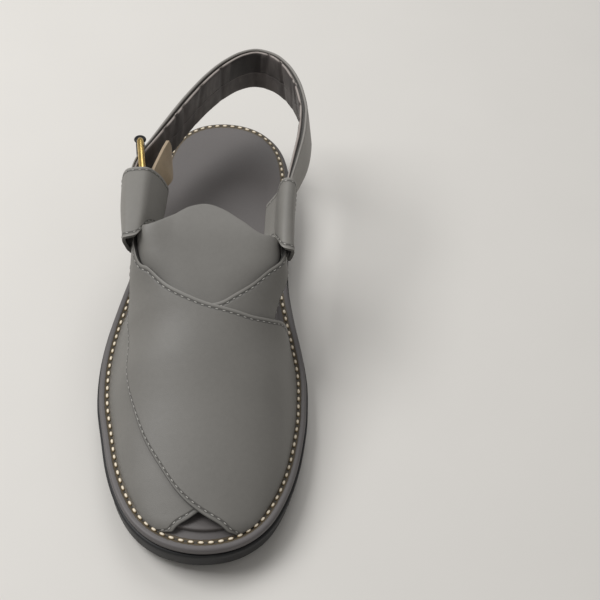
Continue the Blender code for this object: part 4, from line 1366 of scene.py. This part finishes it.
@dataclass
class LastedSheet:
    """A piece of leather laid on the last between a rear and a front edge."""

    last: Last
    name: str
    rows: Table
    foot: Side
    lift: float
    thickness: float
    edge_drape: float = 0.0004
    drape_reach: float = 0.0016
    foot_drape: float = 0.0
    foot_share: float = 0.25
    corner_lift: float = 0.0
    corner_shares: tuple[float, float] = (0.05, 0.30)
    corner_reach: float = 0.030
    round_share: float = 0.24
    courses: int = 150
    steps: int = 90
    seams: tuple[tuple[int, float, float], ...] = ()

    def places(self) -> Array:
        """Points of the outer face, foot to tab, rear edge to front edge.

        Returns:
            The points by row and column.
        """
        along = np.linspace(0, 1, self.courses)
        across = np.linspace(0, 1, self.steps)[None, :]
        rear, rear_turn, front, front_turn = (column(self.rows, index, along)[:, None] for index in (1, 2, 3, 4))
        stations = (rear + (front - rear) * across) * self.last.sole.length
        turns = self.foot.value * (rear_turn + (front_turn - rear_turn) * across)
        reach = arc(self.last.surface(stations, turns, np.zeros_like(stations)), axis=1)
        near = np.minimum(reach, reach[:, -1:] - reach)
        lifts = self.lift + self.thickness - self.edge_drape * np.exp(-near / self.drape_reach)
        lifts = lifts - self.foot_drape * (1 - ease(0.0, self.foot_share, along))[:, None]
        corner = (1 - ease(*self.corner_shares, along))[:, None] * np.exp(-reach / self.corner_reach)
        return self.last.surface(stations, turns, lifts + self.corner_lift * corner)

    def build(self, coats: Sequence[Coat], stands_for: Sequence[str] = ()) -> None:
        """Builds the sheet and its seams.

        Args:
            coats: Outer, inner and rim finish.
            stands_for: CAD nodes that it replaces.
        """
        places = self.places()
        across = arc(places, axis=1)
        sheet = lay_grid(self.name, places, edge_charts(arc(places), across, across[:, -1:] - across))
        face_away(sheet, (0.0, float(places[..., 1].mean()), 0.0))
        add_wall(sheet, self.thickness)
        add_round(sheet, self.thickness * self.round_share)
        dress(sheet, coats, stands_for)
        normals = grid_normals(places)
        for number, seam in enumerate(self.seams):
            sew_leather(f"{self.name}_seam_{number + 1}", *self.seam_line(places, normals, *seam))

    def seam_line(self, places: Array, normals: Array, edge: int, start: float, stop: float) -> tuple[Array, Array]:
        """Line at the seam's inset from one edge.

        Args:
            places: Points of the outer face.
            normals: Its normals.
            edge: 0 for the rear edge, 1 for the front one.
            start: Where the seam starts, as a share of the sheet's length.
            stop: Where it ends.

        Returns:
            Its points and normals.
        """
        if edge:
            places, normals = places[:, ::-1], normals[:, ::-1]
        rows = range(int(start * (self.courses - 1)), int(stop * (self.courses - 1)) + 1)
        reaches = {row: arc(places[row]) for row in rows}
        wide = [row for row in rows if reaches[row][-1] > SEAM_INSET * 2]
        line, up = (np.array([read_at(reaches[row], values[row], SEAM_INSET) for row in wide])
                    for values in (places, normals))
        return line, up


@dataclass
class Vamp:
    """The two crossed panels and the tongue under them."""

    last: Last
    leather: float = 0.0018
    main_leather: float = 0.00175
    main_lift: float = 0.00185
    tongue_lift: float = -0.0026

    def build(self) -> None:
        """Builds both panels and the tongue."""
        coats = [Coat.PANEL, Coat.INSIDE, Coat.EDGE]
        LastedSheet(self.last, "main_panel", UPPER_PANEL_ROWS, Side.INNER, self.main_lift, self.main_leather,
                    foot_drape=0.0017, seams=((0, 0.02, 0.97), (1, 0.03, 0.97))).build(coats, ["upper"])
        LastedSheet(self.last, "under_panel", LOWER_PANEL_ROWS, Side.OUTER, 0.0, self.leather,
                    seams=((0, 0.42, 0.97), (1, 0.03, 0.26), (1, 0.78, 0.97))).build(coats)
        LastedSheet(self.last, "tongue_leather", TONGUE_ROWS, Side.INNER, self.tongue_lift, self.leather,
                    edge_drape=0.0003, corner_lift=0.0030, courses=130, steps=60).build(
                        [Coat.PLAIN, Coat.INSIDE, Coat.PLAIN], ["tongue"])


# ---------------------------------------------------------------------------------------------
# Ankle loops, strap and buckle


@dataclass
class StrapForm:
    """Path and sizes that the loops, the strap, its free end and the buckle share."""

    last: Last
    wall: float = 0.0017
    crest: float = 0.0825
    length: float = 0.0465
    slant: float = 0.0100
    setback: float = 0.0080
    curl: float = 0.0044
    height: float = 0.0275
    end_height: float = 0.0200
    thickness: float = 0.0050
    end_thickness: float = 0.0028
    rise: float = 0.0165
    lean: float = 0.0030
    wire: float = 0.0018

    def top(self) -> float:
        """Height of the strap's top inside the loops."""
        return self.crest - self.wall - 2 * SOFT_GAP - 2 * self.wire

    def loop_height(self) -> float:
        """Height of an ankle loop."""
        return 2 * self.wall + 6 * SOFT_GAP + 4 * self.wire + self.end_height

    def path(self, steps: int) -> tuple[Array, Array, Array, Array, Array]:
        """Middle line, top, height, thickness and lean of the strap, evenly spaced.

        Args:
            steps: Steps along the strap.

        Returns:
            The five, each with one row for each place.
        """
        across, stations, rise, body, lean = np.array(STRAP_ROWS).T
        sole = self.last.sole
        knots = np.column_stack([self.last.ankle(across), sole.to_y(stations * sole.length)])
        reach = arc(knots)
        along = np.linspace(0, reach[-1], steps + 1)
        x, y, rise, body, lean = (cubic(reach, values, along) for values in (*knots.T, rise, body, lean))
        return (np.column_stack([x, y]), self.top() + self.rise * rise,
                self.end_height + (self.height - self.end_height) * body,
                self.end_thickness + (self.thickness - self.end_thickness) * body, self.lean * lean)


@dataclass
class AnkleLoop:
    """Leather sleeve at one ankle."""

    form: StrapForm
    name: str
    node: str
    side: Side
    front: float
    width: float
    profile: Table
    rows: Table
    points: int = 96
    rings: int = 48
    round_share: float = 0.28

    def places(self) -> Array:
        """Points of the outer face, front mouth to rear mouth.

        Returns:
            The points by ring and place round it.
        """
        across, rise, front_slant, rear_slant = ringed(closed_curve(self.profile, self.points)).T
        form, full = self.form, self.form.loop_height()
        made = []
        for along in np.linspace(0, 1, self.rings):
            face, width, drop, share, back, curl = (column(self.rows, index, along) for index in range(1, 7))
            inward = across * self.width * width + form.curl * curl * (1 - rise) ** 2
            slant = form.slant * (front_slant + (rear_slant - front_slant) * along)
            y = form.last.sole.to_y(self.front - form.length * along) + (slant + form.setback * back * (1 - rise))
            height = full * share
            crest = form.crest - full * drop
            made.append(np.column_stack([form.last.ankle(face) - self.side.value * inward, y,
                                         crest - height + rise * height]))
        return np.stack(made)

    def build(self) -> None:
        """Builds the sleeve and a seam round each mouth."""
        places = self.places()
        reach = arc(places)
        core = places.mean(axis=(0, 1))
        charts = edge_charts(arc(places, axis=1), reach[-1:] - reach, reach)
        sleeve = lay_grid(self.name, places, charts, closed=True)
        face_away(sleeve, tuple(core))
        add_wall(sleeve, self.form.wall)
        add_round(sleeve, self.form.wall * self.round_share)
        dress(sleeve, [Coat.SLEEVE, Coat.INSIDE, Coat.RIM], [self.node])
        normals = grid_normals(places, core)
        for label, way in (("front", 1), ("rear", -1)):
            rows = places[::way]
            far = arc(rows)
            line = np.array([read_at(far[:, index], rows[:, index], SEAM_INSET) for index in range(rows.shape[1])])
            row = max(int(round(SEAM_INSET / far[-1].mean() * len(rows))), 1)
            sew_leather(f"{self.name}_{label}_seam", line, normals[::way][row])


@dataclass
class HeelStrap:
    """Lined strap: a leather face rolled over the top edge, and a creased lining.

    A section's rows are across share, drop share and shift in metres; a crease's are its share
    along the strap, its width and its depth.
    """

    form: StrapForm
    steps: int = 260
    crease_lean: float = 0.012
    crease_from: float = -0.35
    creases: Table = (
        (0.235, 0.0016, 0.0008), (0.262, 0.0012, 0.0012), (0.300, 0.0014, 0.0008), (0.352, 0.0016, 0.0008),
        (0.430, 0.0012, 0.0009), (0.545, 0.0012, 0.0010), (0.592, 0.0011, 0.0013), (0.632, 0.0013, 0.0009),
        (0.662, 0.0012, 0.0014), (0.705, 0.0014, 0.0009), (0.760, 0.0018, 0.0007))
    face: Table = (
        (0.14, 0, -0.0018), (0, 0, -0.0020), (-0.12, 0, -0.0020), (-0.13, 0.12, 0), (-0.13, 0.98, 0),
        (-0.05, 1, 0), (0.40, 1, 0), (0.50, 0.96, 0), (0.50, 0.75, 0), (0.50, 0.50, 0), (0.50, 0.25, 0))
    lining: Table = (
        (-0.14, 0, -0.0006), (-0.19, 0, 0.0001), (-0.26, 0, 0.0004), (-0.36, 0, 0.0003), (-0.44, 0, -0.0002),
        (-0.49, 0.03, -0.0004), (-0.50, 0.10, 0), (-0.50, 0.25, 0), (-0.50, 0.42, 0), (-0.50, 0.53, 0),
        (-0.455, 0.565, 0), (-0.50, 0.60, 0), (-0.50, 0.72, 0), (-0.50, 0.85, 0), (-0.49, 0.96, 0),
        (-0.42, 1, 0), (-0.22, 1, 0), (-0.14, 0.98, 0), (-0.14, 0.5, 0))

    def folds(self, down: Array, length: float) -> Array:
        """Depth of the creases by step along the strap and by the section's points.

        Args:
            down: Drop share of the section's points.
            length: The strap's length.

        Returns:
            The depths in metres.
        """
        where = np.linspace(0, 1, self.steps + 1)[:, None]
        fold = np.zeros((self.steps + 1, down.shape[1]))
        for number, (place, width, depth) in enumerate(self.creases):
            tilt = (0.5 - down) * self.crease_lean * (1 if number % 2 else -1)
            fold += depth * np.exp(-((where - place - tilt) * length / width) ** 2)
        return fold

    def sweep(self, name: str, section: Table, creased: bool = False) -> Piece:
        """Runs a closed section along the strap.

        Args:
            name: The piece's name.
            section: The section's rows.
            creased: Whether its inner face is creased.

        Returns:
            The piece.
        """
        middle, top, height, thickness, lean = self.form.path(self.steps)
        along = unit(np.gradient(middle, axis=0))
        outward = np.column_stack([-along[:, 1], along[:, 0]])
        share, down, shift = (np.array(values, float)[None, :] for values in zip(*section))
        across = share * thickness[:, None] + down * lean[:, None]
        if creased:
            lower = (share < self.crease_from) * np.clip(1.25 - down, 0, 1)
            across = across + self.folds(down, arc(middle)[-1]) * lower
        x, y = (middle[:, k:k + 1] + outward[:, k:k + 1] * across for k in (0, 1))
        z = top[:, None] - down * height[:, None] + shift * np.minimum(thickness[:, None] / self.form.thickness, 1)
        places = np.stack([x, y, z], axis=-1)
        places = np.concatenate([places, places[:, :1]], axis=1)
        around = arc(places, axis=1)
        shares = np.broadcast_to(np.linspace(0, 1, self.steps + 1)[:, None], around.shape)
        tube = lay_grid(name, places, {"Strap": np.stack([shares, around], axis=-1)}, closed=True)
        edit_all(tube, ("select_all", {"action": "DESELECT"}), ("select_non_manifold", {}), ("edge_face_add", {}),
                 ("select_all", {"action": "SELECT"}), OUTWARDS)
        return tube

    def build(self) -> None:
        """Builds the leather face and the lining."""
        bead = [(0.33 + 0.17 * math.cos(turn), 0.0, 0.0010 * math.sin(turn) - 0.0010)
                for turn in np.linspace(0, math.pi, 13)]
        dress(self.sweep("strap_leather", [*bead, *self.face]), [Coat.FACE], ["heel_strap"], 60.0)
        dress(self.sweep("strap_lining", self.lining, creased=True), [Coat.LINING], (), 60.0)


@dataclass
class StrapTail:
    """The strap's free end, flesh side out, cut square."""

    form: StrapForm
    height: float = 0.0190
    thickness: float = 0.0020
    belly: float = 0.0006
    round_share: float = 0.16

    def build(self) -> None:
        """Builds the free end."""
        last = self.form.last
        stations = np.linspace(TAIL_ROWS[0][0], TAIL_ROWS[-1][0], 50)
        down = np.linspace(0, 1, 28)[:, None]
        top_x, low_x = (last.ankle(column(TAIL_ROWS, index, stations)) for index in (1, 2))
        x = top_x + (low_x - top_x) * down + self.belly * np.sin(math.pi * down)
        top = self.form.top() - self.height * column(TAIL_ROWS, 3, stations)
        z = top - self.height * column(TAIL_ROWS, 4, stations) * down
        y = np.broadcast_to(last.sole.to_y(stations * last.sole.length), x.shape)
        tail = lay_grid("strap_tail_suede", np.stack([x, y, z], axis=-1))
        face_away(tail, (-0.05, float(y.mean()), float(z.mean())))
        add_wall(tail, self.thickness, 0.0, 0, 1)
        add_round(tail, self.thickness * self.round_share, 2)
        dress(tail, [Coat.TAIL, Coat.TAIL_EDGE], ["strap_tail"])


@dataclass
class Buckle:
    """Wire frame with a roller on its rear bar."""

    form: StrapForm
    front_station: float = 0.1045
    length: float = 0.0345
    slack: float = 0.0012
    corner: float = 0.0038
    roller: float = 0.0024
    roller_round: float = 0.0007
    head: float = 0.0033
    head_dome: float = 0.0012

    def bar_x(self, y: float, radius: float, way: Side) -> float:
        """x of a bar at y that clears the strap on one side of it.

        Args:
            y: The bar's place along the foot.
            radius: The bar's radius.
            way: The strap's side that the bar is on.

        Returns:
            The bar's x.
        """
        middle, _, _, thickness, lean = self.form.path(40)
        outer = middle[:len(middle) // 2]
        nearest = int(np.argmin(np.abs(outer[:, 1] - y)))
        along = outer[nearest + 1] - outer[nearest - 1]
        oblique = np.linalg.norm(along) / abs(along[1])
        spare = lean[nearest] if way is Side.OUTER else self.slack
        clear = thickness[nearest] / 2 + SOFT_GAP + radius + spare
        return float(np.interp(y, outer[:, 1], outer[:, 0])) + way.value * clear * oblique

    def build(self) -> None:
        """Builds the frame, the roller and its head."""
        form = self.form
        top = form.top() + SOFT_GAP + form.wire
        bottom = form.top() - form.end_height - SOFT_GAP - form.wire
        front = float(form.last.sole.to_y(self.front_station))
        rear = front + self.length
        front_x, rear_x = self.bar_x(front, form.wire, Side.INNER), self.bar_x(rear, self.roller, Side.OUTER)
        frame = primitive("plane", "buckle_wire", size=1.0)
        for vert in frame.data.vertices:
            x, y = (rear_x, rear) if vert.co.x > 0 else (front_x, front)
            vert.co = (x, y, top if vert.co.y > 0 else bottom)
        edit_all(frame, ("bevel", {"offset": self.corner, "segments": 8, "affect": "VERTICES"}),
                 ("delete", {"type": "ONLY_FACE"}))
        pick(frame)
        bpy.ops.object.convert(target="CURVE")
        frame = bpy.context.object
        frame.data.bevel_depth = form.wire
        frame.data.bevel_resolution = 5
        bpy.ops.object.convert(target="MESH")
        dress(bpy.context.object, [Coat.BRASS], ["buckle_frame"])
        low, high = bottom + self.corner, top - self.corner
        roller = primitive("cylinder", "buckle_roller_tube", vertices=40, radius=self.roller, depth=high - low)
        roller.data.transform(Matrix.Translation((rear_x, rear, (low + high) / 2)))
        add_round(roller, self.roller_round)
        dress(roller, [Coat.BLACK], ["buckle_roller"])
        head = primitive("uv_sphere", "buckle_head", segments=40, ring_count=20, radius=1.0)
        head.data.transform(Matrix.Translation((rear_x, rear, top - self.head_dome)) @ Matrix.Diagonal(
            (self.head, self.head, self.head_dome, 1.0)))
        dress(head, [Coat.BLACK])


# ---------------------------------------------------------------------------------------------
# Studio


@dataclass
class Studio:
    """Pale floor, soft light from above the image's left and the photograph's camera."""

    focal: float = 65.345
    spot: Colour = (0.015783, -0.478888, 0.486040)
    right: Colour = (0.99690206, 0.01209116, 0.07771805)
    up: Colour = (-0.05871039, 0.77192791, 0.6329932)
    ahead: Colour = (0.05233911, 0.63559508, -0.7702464)
    aim: Colour = (0.0, -0.10, 0.03)
    sky: float = 0.30

    def build(self) -> None:
        """Builds the floor, the lights and the camera."""
        floor = primitive("plane", "floor", size=6.0)
        floor.location.z = -LAYER_GAP
        floor.data.materials.append(PaleFloor().make())
        data = bpy.data.cameras.new("camera")
        data.sensor_width = 36.0
        data.lens = self.focal
        data.clip_start = 0.01
        camera = bpy.data.objects.new("camera", data)
        bpy.context.scene.collection.objects.link(camera)
        turn = Matrix((Vector(self.right), Vector(self.up), -Vector(self.ahead))).transposed().to_4x4()
        turn.translation = Vector(self.spot)
        camera.matrix_world = turn
        bpy.context.scene.camera = camera
        world = bpy.data.worlds.new("studio")
        world.use_nodes = True
        background = world.node_tree.nodes["Background"]
        background.inputs["Color"].default_value = (1.0, 0.985, 0.965, 1.0)
        background.inputs["Strength"].default_value = self.sky
        bpy.context.scene.world = world
        self.lamp("key", (-0.80, 0.02, 1.20), 0.8, 14.2)
        self.lamp("top", (0.05, 0.75, 1.20), 0.8, 4.6)
        bpy.context.scene.view_settings.view_transform = "Standard"

    def lamp(self, name: str, spot: Colour, size: float, power: float) -> None:
        """Adds a square area light that faces the shoe.

        Args:
            name: The lamp's name.
            spot: Its place.
            size: Length of its side.
            power: Its power in watts.
        """
        rest_selection()
        bpy.ops.object.light_add(type="AREA", location=spot)
        lamp = bpy.context.object
        lamp.name = name
        lamp.data.size = size
        lamp.data.energy = power
        lamp.rotation_euler = (Vector(self.aim) - Vector(spot)).to_track_quat("-Z", "Y").to_euler()


def main() -> None:
    """Builds the shoe piece by piece over its frame, then the studio."""
    logging.basicConfig(level=logging.INFO, format="%(name)s: %(message)s")
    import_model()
    sole = SoleForm()
    last = Last(sole)
    form = StrapForm(last)
    outer = AnkleLoop(form, "outer_loop", "ankle_loop_outer", Side.OUTER, 0.1450, 0.0235,
                      OUTER_LOOP_PROFILE, OUTER_LOOP_ROWS)
    inner = AnkleLoop(form, "inner_loop", "ankle_loop_inner", Side.INNER, 0.1440, 0.0150,
                      INNER_LOOP_PROFILE, INNER_LOOP_ROWS)
    for part in (Outsole(sole), WeltedBoard(sole), Vamp(last), outer, inner, HeelStrap(form), StrapTail(form),
                 Buckle(form), Studio()):
        part.build()


if __name__ == "__main__":
    main()
